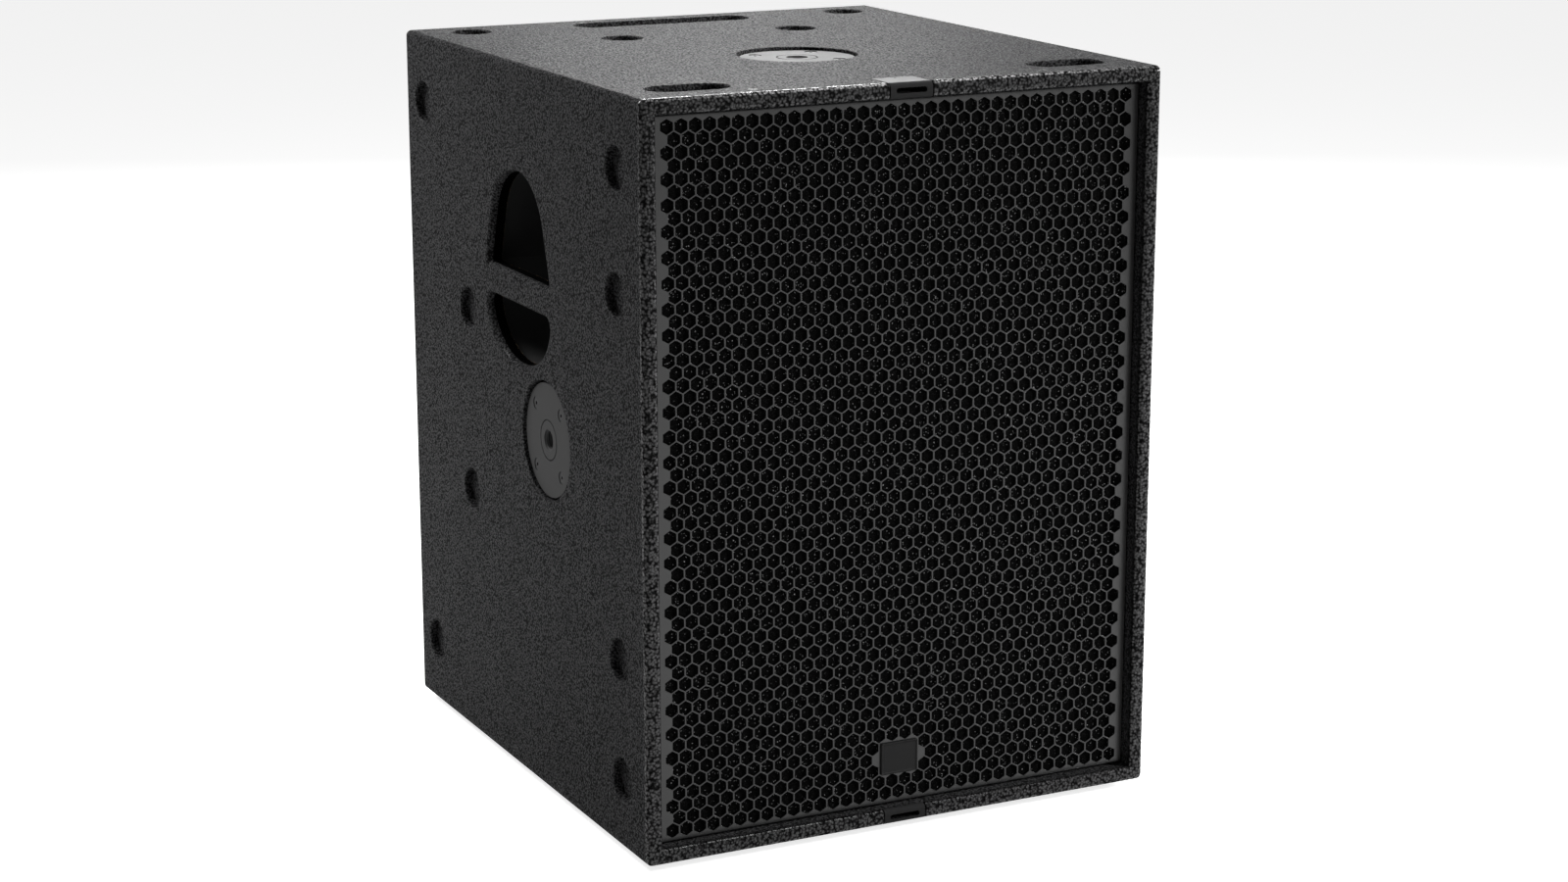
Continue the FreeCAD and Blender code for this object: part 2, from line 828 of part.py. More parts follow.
def make_foot(seat, outward):
    """Tapered rubber foot with a counterbored screw hole, standing out from the panel."""
    foot = tapered(seat, outward, foot_radius, foot_tip_radius, foot_height)
    tip = [edge for edge in foot.Edges if edge.Closed and edge.CenterOfMass.distanceToPoint(
        seat + outward * foot_height) < 0.1]
    foot = foot.makeFillet(foot_tip_round, tip)
    bore = rod(seat - outward * overshoot, outward, foot_bore_radius, foot_height + 2 * overshoot)
    counterbore = rod(seat + outward * foot_floor, outward, foot_counterbore_radius, foot_height)
    return foot.cut(bore).cut(counterbore)


def make_feet(seats):
    return [make_foot(point, inward * -1) for point, inward in seats]


def make_foot_screws(seats):
    screws = []
    for point, inward in seats:
        seat = point - inward * (foot_floor + washer_thickness)
        length = foot_floor + washer_thickness + foot_screw_grip
        screws.append(round_head_screw(seat, inward, foot_screw_radius, foot_screw_head,
                                       foot_screw_head_height, length))
    return screws


def make_foot_washers(seats):
    return [tube(point - inward * (foot_floor + washer_thickness), inward, washer_radius,
                 foot_bore_radius, washer_thickness) for point, inward in seats]


# Pole flanges

def make_pole_flange(point, inward, across, along):
    """Round plate sunk in its pocket, with a blind threaded boss behind it and a groove round the mouth."""
    face = point + inward * flange_sink
    plate = rod(face, inward, flange_radius, flange_thickness)
    boss = rod(face, inward, boss_radius, flange_thickness + boss_length)
    body = plate.fuse(boss).removeSplitter()
    bore = rod(face, inward, pole_bore_radius, pole_bore_depth)
    chamfer = tapered(face, inward, pole_bore_radius + pole_mouth_chamfer, pole_bore_radius,
                      pole_mouth_chamfer)
    groove = tube(face, inward, boss_radius, boss_radius - boss_groove_width, boss_groove_depth)
    body = body.cut(bore).cut(chamfer).cut(groove)
    for a, b in flange_screw_offsets():
        body = body.cut(countersunk_hole(face + across * a + along * b + inward * flange_screw_sink, inward,
                                         flange_screw_radius, flange_screw_head, panel_thickness))
    return body


def make_flange_screws():
    screws = []
    sink = flange_sink + flange_screw_sink
    length = panel_thickness - sink + tee_nut_flange + flange_screw_tip
    for name, point, inward, across, along in pole_flange_mounts():
        for a, b in flange_screw_offsets():
            face = point + inward * sink + across * a + along * b
            screws.append(countersunk_screw(face, inward, flange_screw_radius, flange_screw_head, length))
    return screws


def make_flange_tee_nuts():
    nuts = []
    for name, point, inward, across, along in pole_flange_mounts():
        for a, b in flange_screw_offsets():
            inner = point + inward * panel_thickness + across * a + along * b
            nuts.append(tee_nut(inner, inward * -1, flange_screw_radius))
    return nuts


# Handle cups

def make_handle_cup(outer_x, inward):
    """Closed cup behind the handle openings, flanged against the inner face of the side panel."""
    x = outer_x + inward * panel_thickness
    shell = cup_body(x, inward * cup_depth, cup_gap + cup_wall)
    hollow = cup_body(x - inward * overshoot, inward * (cup_depth - cup_wall + overshoot), cup_gap)
    flange = cup_body(x, inward * cup_wall, cup_gap + cup_wall + cup_flange)
    cup = shell.fuse(flange).removeSplitter().cut(hollow)
    for y, z in cup_screw_places():
        cup = cup.cut(rod(V(x - inward * overshoot, y, z), along_x * inward, cup_screw_radius + press_gap,
                          cup_wall + 2 * overshoot))
    return cup


def make_cup_screws():
    screws = []
    for outer_x, inward in ((left, 1), (right, -1)):
        x = outer_x + inward * (panel_thickness + cup_wall)
        for y, z in cup_screw_places():
            screws.append(round_head_screw(V(x, y, z), along_x * -inward, cup_screw_radius,
                                           cup_screw_head,
                                           cup_screw_head_height, cup_wall + cup_screw_grip))
    return screws


# Catch plates

def make_catch_plate(face_z, inward, cover):
    """Angle plate that follows both rounded front edges of its panel, slotted in the front leg."""
    half = catch_width / 2
    z0, z1 = sorted((face_z - inward * overshoot, face_z + inward * panel_thickness))
    band = block(-half, half, front - overshoot, front + catch_leg, z0, z1)
    z2, z3 = sorted((face_z + inward * catch_thickness, face_z + inward * (panel_thickness + overshoot)))
    inner = block(-half, half, front + catch_thickness, front + catch_leg + overshoot, z2, z3)
    plate = cover.common(band).cut(inner.cut(lip_cutter(lip_radius - catch_thickness)))
    slot = catch_slot_cutter(face_z, inward, catch_thickness + overshoot)
    hole = countersunk_hole(V(0, front + catch_screw_from_front, face_z), along_z * inward,
                            catch_screw_radius,
                            catch_screw_head, panel_thickness)
    return plate.cut(slot).cut(hole)


def make_catch_screws():
    y = front + catch_screw_from_front
    return [countersunk_screw(V(0, y, face_z), V(0, 0, inward), catch_screw_radius, catch_screw_head,
                              catch_screw_length) for face_z, inward in ((cabinet_height, -1), (0, 1))]


# Grille

def grille_box(inset, y0, y1):
    gap = grille_gap + inset
    return block(inner_left + gap, inner_right - gap, y0, y1, inner_bottom + gap, inner_top - gap)


def make_grille():
    """Shallow steel tray, open to the back, with holes for its inserts and the badge studs."""
    face_y = front + grille_setback
    outer = grille_box(0, face_y, face_y + grille_rim)
    face_edges = []
    for edge in outer.Edges:
        box = edge.BoundBox
        if box.YMax < face_y + 0.01:
            face_edges.append(edge)
    outer = outer.makeFillet(grille_edge_radius, face_edges)
    tray = outer.cut(grille_box(grille_sheet, face_y + grille_sheet, face_y + grille_rim + overshoot))
    cutters = []
    for point, inward in grille_screw_places():
        cutters.append(rod(point, inward, insert_radius, panel_thickness + grille_gap + 4 * grille_sheet))
    for x in badge_stud_places():
        cutters.append(rod(V(x, face_y - overshoot, badge_centre_height), along_y,
                           badge_stud_radius + press_gap, grille_sheet + 2 * overshoot))
    return tray.cut(Part.makeCompound(cutters))


def insert_start(point, inward):
    """Outer face of the grille's rim under a grille screw."""
    return point + inward * (panel_thickness + grille_gap)


def make_inserts():
    inserts = []
    for point, inward in grille_screw_places():
        start = insert_start(point, inward)
        head = rod(start - inward * insert_head, inward, insert_head_radius, insert_head)
        body = rod(start, inward, insert_radius, insert_length + grille_sheet)
        bore = rod(start - inward * (insert_head + overshoot), inward, grille_screw_radius,
                   insert_head + insert_length + grille_sheet + 2 * overshoot)
        inserts.append(head.fuse(body).removeSplitter().cut(bore))
    return inserts


def make_grille_screws():
    length = panel_thickness + grille_gap + grille_screw_tip
    return [countersunk_screw(point, inward, grille_screw_radius, grille_screw_head, length)
            for point, inward in grille_screw_places()]


def make_foam():
    """Foam sheet behind the grille face, notched around the inserts and the badge nuts."""
    y0 = front + grille_setback + grille_sheet + press_gap
    foam = grille_box(grille_sheet + press_gap, y0, y0 + foam_thickness)
    cutters = []
    for point, inward in grille_screw_places():
        cutters.append(rod(insert_start(point, inward), inward, insert_radius + press_gap,
                           insert_length + grille_sheet + press_gap))
    for x in badge_stud_places():
        cutters.append(rod(V(x, y0 - overshoot, badge_centre_height), along_y,
                           push_nut_radius + press_gap,
                           foam_thickness + 2 * overshoot))
    return foam.cut(Part.makeCompound(cutters))


def badge_stud_places():
    return [-badge_stud_spacing / 2, badge_stud_spacing / 2]


def make_badge():
    """Plain plate on the grille with two studs through the sheet."""
    face_y = front + grille_setback
    plate = rounded_plate(badge_width, badge_height, badge_corner,
                          V(-badge_width / 2, face_y - badge_proud,
                            badge_centre_height - badge_height / 2),
                          badge_proud)
    studs = [rod(V(x, face_y - 1, badge_centre_height), along_y, badge_stud_radius, badge_stud_length + 1)
             for x in badge_stud_places()]
    return joined([plate] + studs)


def make_push_nuts():
    y = front + grille_setback + grille_sheet
    return [tube(V(x, y, badge_centre_height), along_y, push_nut_radius, badge_stud_radius,
                 push_nut_thickness)
            for x in badge_stud_places()]


# Driver

def turned(profile):
    """Solid of revolution about the driver's axis from (radius, y behind the baffle front) points."""
    points = [driver_point(radius, y) for radius, y in profile]
    return turned_edges(Part.makePolygon(points + [points[0]]).Edges)


def turned_edges(edges):
    solid = Part.Face(Part.Wire(edges)).revolve(V(0, 0, driver_height), along_y, 360)
    if solid.Volume < 0:
        solid.reverse()
    return solid


def driver_point(radius, y):
    return V(radius, baffle_front + y, driver_height)


def cone_front(radius):
    """Depth of the cone's front face at a radius."""
    edge_depth = -frame_thickness - seal_thickness
    share = (radius - former_radius) / (cone_radius - former_radius)
    return cone_neck_depth + (edge_depth - cone_neck_depth) * share


def make_basket():
    """Cast frame: flange, windowed cone, spider ledge and the floor that carries the motor."""
    wall = basket_wall
    body = turned([
        (frame_inner_radius, -frame_thickness - seal_thickness),
                   (frame_radius, -frame_thickness - seal_thickness),
        (frame_radius, -seal_thickness), (cutout_radius - 2, -seal_thickness),
        (pot_radius, basket_depth), (pot_radius, motor_front), (pot_floor_bore, motor_front),
        (pot_floor_bore, motor_front - pot_floor), (pot_inner_radius, motor_front - pot_floor),
        (pot_inner_radius, basket_depth), (pot_radius - wall, basket_depth),
        (frame_inner_radius, -seal_thickness - wall)])
    step = 360 / basket_windows
    for index in range(basket_windows):
        middle = step * index
        half = step * (1 - spoke_share) / 2
        body = body.cut(basket_window(middle - half, middle + half))
    for x, z in driver_bolt_places():
        body = body.cut(rod(V(x, baffle_front - frame_thickness - 2 * seal_thickness, z), along_y,
                            driver_bolt_radius + press_gap, frame_thickness + 2 * seal_thickness))
    for x, z in motor_screw_places():
        body = body.cut(rod(V(x, baffle_front + motor_front - pot_floor - overshoot, z), along_y,
                            motor_screw_radius + press_gap, pot_floor + 2 * overshoot))
    return body


def basket_window(start, end):
    """Wedge between two angles that opens the basket's cone between its spokes."""
    outer = cutout_radius + window_reach
    low = pot_radius + window_pot_gap
    points = []
    for radius, angle in ((low, start), (outer, start), (outer, end), (low, end)):
        a = math.radians(angle)
        points.append(V(radius * math.cos(a), baffle_front + window_front,
                        driver_height + radius * math.sin(a)))
    return prism(points, V(0, basket_depth - window_front - window_back_margin, 0))


def motor_screw_places():
    step = 360 / motor_screw_count
    angles = [math.radians(step * (index + 0.5)) for index in range(motor_screw_count)]
    return [(motor_screw_circle * math.cos(a),
             driver_height + motor_screw_circle * math.sin(a)) for a in angles]


def make_motor_screws():
    y = baffle_front + motor_front - pot_floor
    return [round_head_screw(V(x, y, z), along_y, motor_screw_radius, motor_screw_head,
                             motor_screw_head_height,
                             pot_floor + motor_screw_grip) for x, z in motor_screw_places()]


def make_top_plate():
    plate = turned([(gap_radius, motor_front), (plate_radius, motor_front),
                    (plate_radius, motor_front + plate_thickness),
                    (gap_radius, motor_front + plate_thickness)])
    for x, z in motor_screw_places():
        plate = plate.cut(rod(V(x, baffle_front + motor_front - overshoot, z), along_y,
                              motor_screw_radius,
                              motor_screw_grip + 2 * overshoot))
    return plate


def make_magnet():
    y0 = motor_front + plate_thickness
    y1 = y0 + magnet_thickness
    edge = magnet_radius - magnet_chamfer
    return turned([(magnet_bore, y0), (edge, y0), (magnet_radius, y0 + magnet_chamfer),
                   (magnet_radius, y1 - magnet_chamfer), (edge, y1), (magnet_bore, y1)])


def make_pole_piece():
    """Back plate with the vented pole standing in the voice coil's gap."""
    y0 = motor_front + plate_thickness + magnet_thickness
    y1 = y0 + back_plate_thickness
    chamfer = back_plate_chamfer
    return turned([(vent_radius, motor_front), (pole_radius, motor_front), (pole_radius, y0),
                   (plate_radius, y0), (plate_radius, y1 - chamfer), (plate_radius - chamfer, y1),
                   (vent_radius + chamfer, y1), (vent_radius, y1 - chamfer)])


def make_former():
    y0 = cone_neck_depth - neck_length
    y1 = motor_front + plate_thickness / 2 + winding_length / 2 + former_tail
    return turned([(former_radius, y0), (former_radius + former_wall, y0),
                   (former_radius + former_wall, y1),
                   (former_radius, y1)])


def make_winding():
    middle = motor_front + plate_thickness / 2
    r0 = former_radius + former_wall
    return turned([(r0, middle - winding_length / 2), (winding_radius, middle - winding_length / 2),
                   (winding_radius, middle + winding_length / 2), (r0, middle + winding_length / 2)])


def make_cone():
    """Paper cone, glued to the former at its neck."""
    r0 = former_radius + former_wall
    edge = cone_front(cone_radius)
    return turned([(r0, cone_front(r0)), (cone_radius, edge), (cone_radius, edge + cone_wall),
                   (r0 + neck_width, cone_front(r0) + cone_wall),
                   (r0 + neck_width, cone_front(r0) + neck_length), (r0, cone_front(r0) + neck_length)])


def make_dust_cap():
    """Shallow dome glued on the cone around the voice coil."""
    seat = cone_front(dust_cap_radius)
    apex = seat - dust_cap_rise
    dome = (dust_cap_radius ** 2 + dust_cap_rise ** 2) / (2 * dust_cap_rise)
    centre = apex + dome
    inner = dome - dust_cap_wall
    inner_radius = math.sqrt(inner ** 2 - (centre - seat) ** 2)

    def dome_arc(sphere, start_radius, end_radius):
        radii = (start_radius, (start_radius + end_radius) / 2, end_radius)
        points = [driver_point(radius, centre - math.sqrt(sphere ** 2 - radius ** 2)) for radius in radii]
        return Part.Arc(*points).toShape()

    edges = [dome_arc(dome, dust_cap_radius, 0),
             Part.makeLine(driver_point(0, apex), driver_point(0, apex + dust_cap_wall)),
             dome_arc(inner, 0, inner_radius),
             Part.makeLine(driver_point(inner_radius, seat), driver_point(dust_cap_radius, seat))]
    return turned_edges(edges)


def make_surround():
    """Half-roll between the cone's edge and the frame, with a flat land on each."""
    y = -frame_thickness - seal_thickness
    wall = surround_wall
    r0 = cone_radius - surround_inner_land
    r1 = cone_radius
    r2 = cone_radius + 2 * roll_radius
    r3 = surround_outer_radius
    middle = (r1 + r2) / 2
    top = y - wall
    edges = [
        Part.makeLine(driver_point(r0, top), driver_point(r1, top)),
        Part.Arc(driver_point(r1, top), driver_point(middle, top - roll_radius),
                 driver_point(r2, top)).toShape(),
        Part.makeLine(driver_point(r2, top), driver_point(r3, top)),
        Part.makeLine(driver_point(r3, top), driver_point(r3, y)),
        Part.makeLine(driver_point(r3, y), driver_point(r2 - wall, y)),
        Part.Arc(driver_point(r2 - wall, y), driver_point(middle, y - roll_radius),
                 driver_point(r1 + wall, y)).toShape(),
        Part.makeLine(driver_point(r1 + wall, y), driver_point(r1, y)),
        Part.makeLine(driver_point(r1, y), driver_point(r0, y)),
        Part.makeLine(driver_point(r0, y), driver_point(r0, top))]
    return turned_edges(edges)


def make_front_seal():
    """Gasket on the flange over the surround's outer land."""
    y = -frame_thickness - seal_thickness - surround_wall
    r0 = surround_outer_radius - surround_outer_land + press_gap
    return turned([(r0, y), (surround_outer_radius, y), (surround_outer_radius, y - front_seal_thickness),
                   (r0, y - front_seal_thickness)])


def make_rear_seal():
    """Flat seal between the flange and the baffle."""
    r0 = cutout_radius
    seal = turned([(r0, -seal_thickness), (frame_radius, -seal_thickness), (frame_radius, 0), (r0, 0)])
    for x, z in driver_bolt_places():
        seal = seal.cut(rod(V(x, baffle_front - seal_thickness - overshoot, z), along_y,
                            driver_bolt_radius + press_gap, seal_thickness + 2 * overshoot))
    return seal


def make_spider():
    """Corrugated suspension from the former to the basket's ledge."""
    y = basket_depth - spider_wall
    r0 = former_radius + former_wall
    r1 = pot_inner_radius - spider_land
    count = spider_waves * 2
    pitch = (r1 - r0 - spider_land) / count
    front_side = [(r0, y)]
    for index in range(count):
        sign = 1 if index % 2 else -1
        front_side.append((r0 + spider_land + pitch * (index + 0.5), y + sign * spider_wave))
    front_side += [(r1, y), (spider_radius, y)]
    back_side = [(radius, depth + spider_wall) for radius, depth in reversed(front_side)]
    return turned(front_side + back_side)


def make_driver_bolts():
    y = baffle_front - frame_thickness - seal_thickness
    length = frame_thickness + seal_thickness + baffle_thickness + tee_nut_flange + driver_bolt_tip
    return [round_head_screw(V(x, y, z), along_y, driver_bolt_radius, driver_bolt_head,
                             driver_bolt_head_height,
                             length) for x, z in driver_bolt_places()]


def make_driver_tee_nuts():
    return [tee_nut(V(x, baffle_back, z), V(0, -1, 0), driver_bolt_radius) for x,
            z in driver_bolt_places()]


# Wiring

def cord(points, diameter):
    """Round cord along straight runs joined by tangent arcs; prints each bend's radius."""
    edges = []
    start = points[0]
    radii = []
    for index in range(1, len(points) - 1):
        corner = points[index]
        before = corner - points[index - 1]
        after = points[index + 1] - corner
        turn = before.getAngle(after)
        setback = 0.45 * min(before.Length, after.Length)
        radius = setback / math.tan(turn / 2)
        entry = corner - before.normalize() * setback
        leave = corner + after.normalize() * setback
        half_chord = radius * math.sin(turn / 2)
        bisector = (entry + leave) * 0.5
        towards = corner - bisector
        sagitta = radius - math.sqrt(radius * radius - half_chord * half_chord)
        middle = bisector + towards.normalize() * sagitta
        edges.append(Part.makeLine(start, entry))
        edges.append(Part.Arc(entry, middle, leave).toShape())
        start = leave
        radii.append(round(radius, 1))
    edges.append(Part.makeLine(start, points[-1]))
    path = Part.Wire(edges)
    direction = points[1] - points[0]
    section = Part.Wire([Part.makeCircle(diameter / 2, points[0], direction)])
    solid = path.makePipeShell([section], True, False)
    expected = math.pi * diameter * diameter / 4 * path.Length
    print("cord radii", radii, "length", round(path.Length, 1), "volume ratio",
          round(solid.Volume / expected, 4))
    return solid


def terminal_seat_y():
    return baffle_front + basket_depth + pot_depth / 2


def tag_x():
    return pot_radius + tag_from_pot


def make_terminal_block():
    """Block on the flat side of the basket's pot, with two push tags facing the cone."""
    y = terminal_seat_y()
    half = terminal_height / 2
    block_body = block(pot_radius - 2, pot_radius + terminal_thickness, y - half, y + half,
                       driver_height - terminal_width / 2, driver_height + terminal_width / 2)
    pot = rod(V(0, baffle_front + basket_depth, driver_height), along_y, pot_radius, pot_depth)
    tags = [block(tag_x() - tag_thickness / 2, tag_x() + tag_thickness / 2, y - half - tag_length,
                  y - half,
                  driver_height + side * tinsel_spread / 2 - 2,
                  driver_height + side * tinsel_spread / 2 + 2)
            for side in (-1, 1)]
    return joined([block_body.cut(pot)] + tags)


def make_tinsel_leads():
    """Two flexible leads from the tags, through a basket window, to the back of the cone."""
    leads = []
    tag_y = terminal_seat_y() - terminal_height / 2 - tag_length
    cone_y = baffle_front + cone_front(tinsel_landing) + cone_wall + tinsel_diameter
    for side in (-1, 1):
        z = driver_height + side * tinsel_spread / 2
        points = [V(tag_x(), tag_y, z), V(tag_x() - 1, tag_y - 18, z),
                  V(tag_x() - 17, tag_y - 29, z + side * 3),
                  V(tinsel_landing, cone_y, z + side * 6)]
        leads.append(cord(points, tinsel_diameter))
    return leads


def plug_x():
    return pot_radius + terminal_thickness + plug_thickness / 2


def make_plug():
    """Plug on the outer face of the terminal block, with the cable leaving downward."""
    y = terminal_seat_y()
    body = block(pot_radius + terminal_thickness, pot_radius + terminal_thickness + plug_thickness,
                 y - plug_width / 2, y + plug_width / 2,
                 driver_height - plug_length, driver_height + plug_top)
    edges = [edge for edge in body.Edges if edge.BoundBox.XMin > pot_radius + terminal_thickness + 1]
    body = body.makeFillet(plug_edge_radius, edges)
    cable_hole = rod(V(plug_x(), y, driver_height - plug_length - overshoot), along_z,
                     cable_diameter / 2 + press_gap, plug_hole_depth + overshoot)
    return body.cut(cable_hole)


def cable_on_shelf():
    """Height of the cable's middle where it lies on the port shelf."""
    return shelf_top + cable_diameter / 2 + press_gap


def shelf_corners():
    """Where the cable lies on the shelf: its first, middle and last points there."""
    low = cable_on_shelf()
    return [V(157, 0, low), V(156, 62, low), V(158, 122, low)]


def cable_points():
    """Route from the driver's plug down to the shelf, back along it and up in a loop to the first socket."""
    y = terminal_seat_y()
    x = plug_x()
    low = cable_on_shelf()
    end_x = socket_spread / 2
    down = [V(x, y, driver_height - plug_length + plug_hole_depth - press_gap), V(x, y, 345),
            V(138, -121.5, 270),
            V(146, -117.5, 200), V(155, -72, low + 6)]
    up = [V(153, 175, low + 12), V(138, 205, low + 58), V(116, 198, low + 115), V(92, 166, low + 158),
          V(66, 138, low + 190), V(42, 152, low + 214), V(end_x, 186, dish_height),
          V(end_x, socket_back_y() - press_gap, dish_height)]
    return down + shelf_corners() + up


def make_cable():
    return cord(cable_points(), cable_diameter)


def clip_places():
    first, middle, last = shelf_corners()
    return [(first + middle) * 0.5, (middle + last) * 0.5]


def make_clips():
    """Saddle clips that hold the cable down on the shelf."""
    clips = []
    for place in clip_places():
        outer = cable_diameter / 2 + press_gap + clip_wall
        inner = cable_diameter / 2 + press_gap
        y0 = place.y - clip_width / 2
        y1 = place.y + clip_width / 2
        arch = rod(V(place.x, y0, place.z), along_y, outer, clip_width)
        body = block(place.x - outer, place.x + outer, y0, y1, shelf_top, place.z)
        foot = block(place.x + outer - clip_lap, place.x + outer + clip_foot, y0, y1, shelf_top,
                     shelf_top + clip_wall)
        clip = joined([arch, body, foot])
        clip = clip.cut(rod(V(place.x, y0 - overshoot, place.z), along_y, inner,
                            clip_width + 2 * overshoot))
        clip = clip.cut(block(place.x - inner, place.x + inner, y0 - overshoot, y1 + overshoot,
                              shelf_top - 3 * overshoot, place.z))
        clip = clip.common(block(place.x - outer, place.x + outer + clip_foot, y0, y1, shelf_top,
                                 place.z + outer + overshoot))
        clip = clip.cut(rod(clip_screw_seat(place) - V(0, 0, clip_wall + overshoot), along_z,
                            clip_screw_radius + press_gap, clip_wall + 2 * overshoot))
        clips.append(clip)
    return clips


def clip_screw_seat(place):
    outer = cable_diameter / 2 + press_gap + clip_wall
    return V(place.x + outer + clip_foot / 2, place.y, shelf_top + clip_wall)


def make_clip_screws():
    return [round_head_screw(clip_screw_seat(place), V(0, 0, -1), clip_screw_radius, clip_screw_head,
                             clip_screw_head_height, clip_screw_length) for place in clip_places()]


# Rear terminal dish

def dish_floor_y():
    """Outer face of the dish floor, which the sockets seat on."""
    return back - dish_depth


def make_dish():
    """Steel dish sunk in the rear panel: rim, four walls and a floor with two socket holes."""
    half_x = dish_width / 2 - dish_gap
    half_z = dish_opening_height / 2 - dish_gap
    rim_x = dish_width / 2 + dish_rim
    rim_z = dish_opening_height / 2 + dish_rim
    floor_y = dish_floor_y()
    rim = rounded_plate(2 * rim_x, 2 * rim_z, dish_rim_corner,
                        V(-rim_x, back - dish_rim_thickness, dish_height - rim_z), dish_rim_thickness)
    cup = rounded_plate(2 * half_x, 2 * half_z, dish_cup_corner,
                        V(-half_x, floor_y - dish_wall, dish_height - half_z), dish_depth + dish_wall)
    hollow = rounded_plate(2 * (half_x - dish_wall), 2 * (half_z - dish_wall), dish_cup_corner - dish_wall,
                           V(-half_x + dish_wall, floor_y, dish_height - half_z + dish_wall),
                           dish_depth + overshoot)
    dish = rim.fuse(cup).removeSplitter().cut(hollow)
    cutters = []
    for x, z in dish_screw_places():
        cutters.append(countersunk_hole(V(x, back, z), V(0, -1, 0), dish_screw_radius, dish_screw_head,
                                        dish_rim_thickness + overshoot))
    for x in socket_places():
        cutters.append(rod(V(x, floor_y - dish_wall - overshoot, dish_height), along_y,
                           socket_radius + press_gap, dish_wall + 2 * overshoot))
        for a, b in socket_screw_offsets():
            cutters.append(rod(V(x + a, floor_y - dish_wall - overshoot, dish_height + b), along_y,
                               socket_screw_radius, dish_wall + 2 * overshoot))
    return dish.cut(Part.makeCompound(cutters))


def make_dish_seal():
    y0 = back - dish_rim_thickness - dish_seal_thickness
    rim_x = dish_width / 2 + dish_rim
    rim_z = dish_opening_height / 2 + dish_rim
    half_x = dish_width / 2
    half_z = dish_opening_height / 2
    seal = block(-rim_x, rim_x, y0, y0 + dish_seal_thickness, dish_height - rim_z, dish_height + rim_z)
    seal = seal.cut(block(-half_x, half_x, y0 - overshoot, y0 + 2 * overshoot, dish_height - half_z,
                          dish_height + half_z))
    for x, z in dish_screw_places():
        seal = seal.cut(rod(V(x, y0 - overshoot, z), along_y, dish_screw_radius + press_gap,
                            3 * overshoot))
    return seal


def make_dish_screws():
    return [countersunk_screw(V(x, back, z), V(0, -1, 0), dish_screw_radius, dish_screw_head,
                              panel_thickness - dish_screw_tip)
            for x, z in dish_screw_places()]


def socket_places():
    return [-socket_spread / 2, socket_spread / 2]


def socket_screw_offsets():
    x = socket_screw_x / 2
    z = socket_screw_z / 2
    return [(-x, z), (x, -z)]


def socket_back_y():
    return dish_floor_y() + socket_flange_thickness - socket_depth


def make_sockets():
    """Round twist-lock sockets: flange, barrel with a closed back, and a centre core."""
    sockets = []
    for x in socket_places():
        floor_y = dish_floor_y()
        face_y = floor_y + socket_flange_thickness
        flange = rounded_plate(socket_flange_width, socket_flange_height, socket_flange_corner,
                               V(x - socket_flange_width / 2, floor_y,
                                 dish_height - socket_flange_height / 2),
                               socket_flange_thickness)
        barrel = rod(V(x, socket_back_y(), dish_height), along_y, socket_radius, socket_depth)
        bore = rod(V(x, socket_back_y() + socket_wall, dish_height), along_y, socket_bore_radius,
                   socket_depth)
        core = rod(V(x, socket_back_y(), dish_height), along_y, socket_core_radius,
                   socket_depth - socket_core_setback)
        body = flange.fuse(barrel).removeSplitter().cut(bore).fuse(core).removeSplitter()
        for a, b in socket_screw_offsets():
            body = body.cut(rod(V(x + a, floor_y - overshoot, dish_height + b), along_y,
                                socket_screw_radius + press_gap, socket_flange_thickness + 2 * overshoot))
        sockets.append(body)
    return sockets


def make_socket_screws():
    screws = []
    for x in socket_places():
        for a, b in socket_screw_offsets():
            seat = V(x + a, dish_floor_y() + socket_flange_thickness, dish_height + b)
            screws.append(round_head_screw(seat, V(0, -1, 0), socket_screw_radius, socket_screw_head,
                                           socket_screw_head_height, socket_screw_length))
    return screws


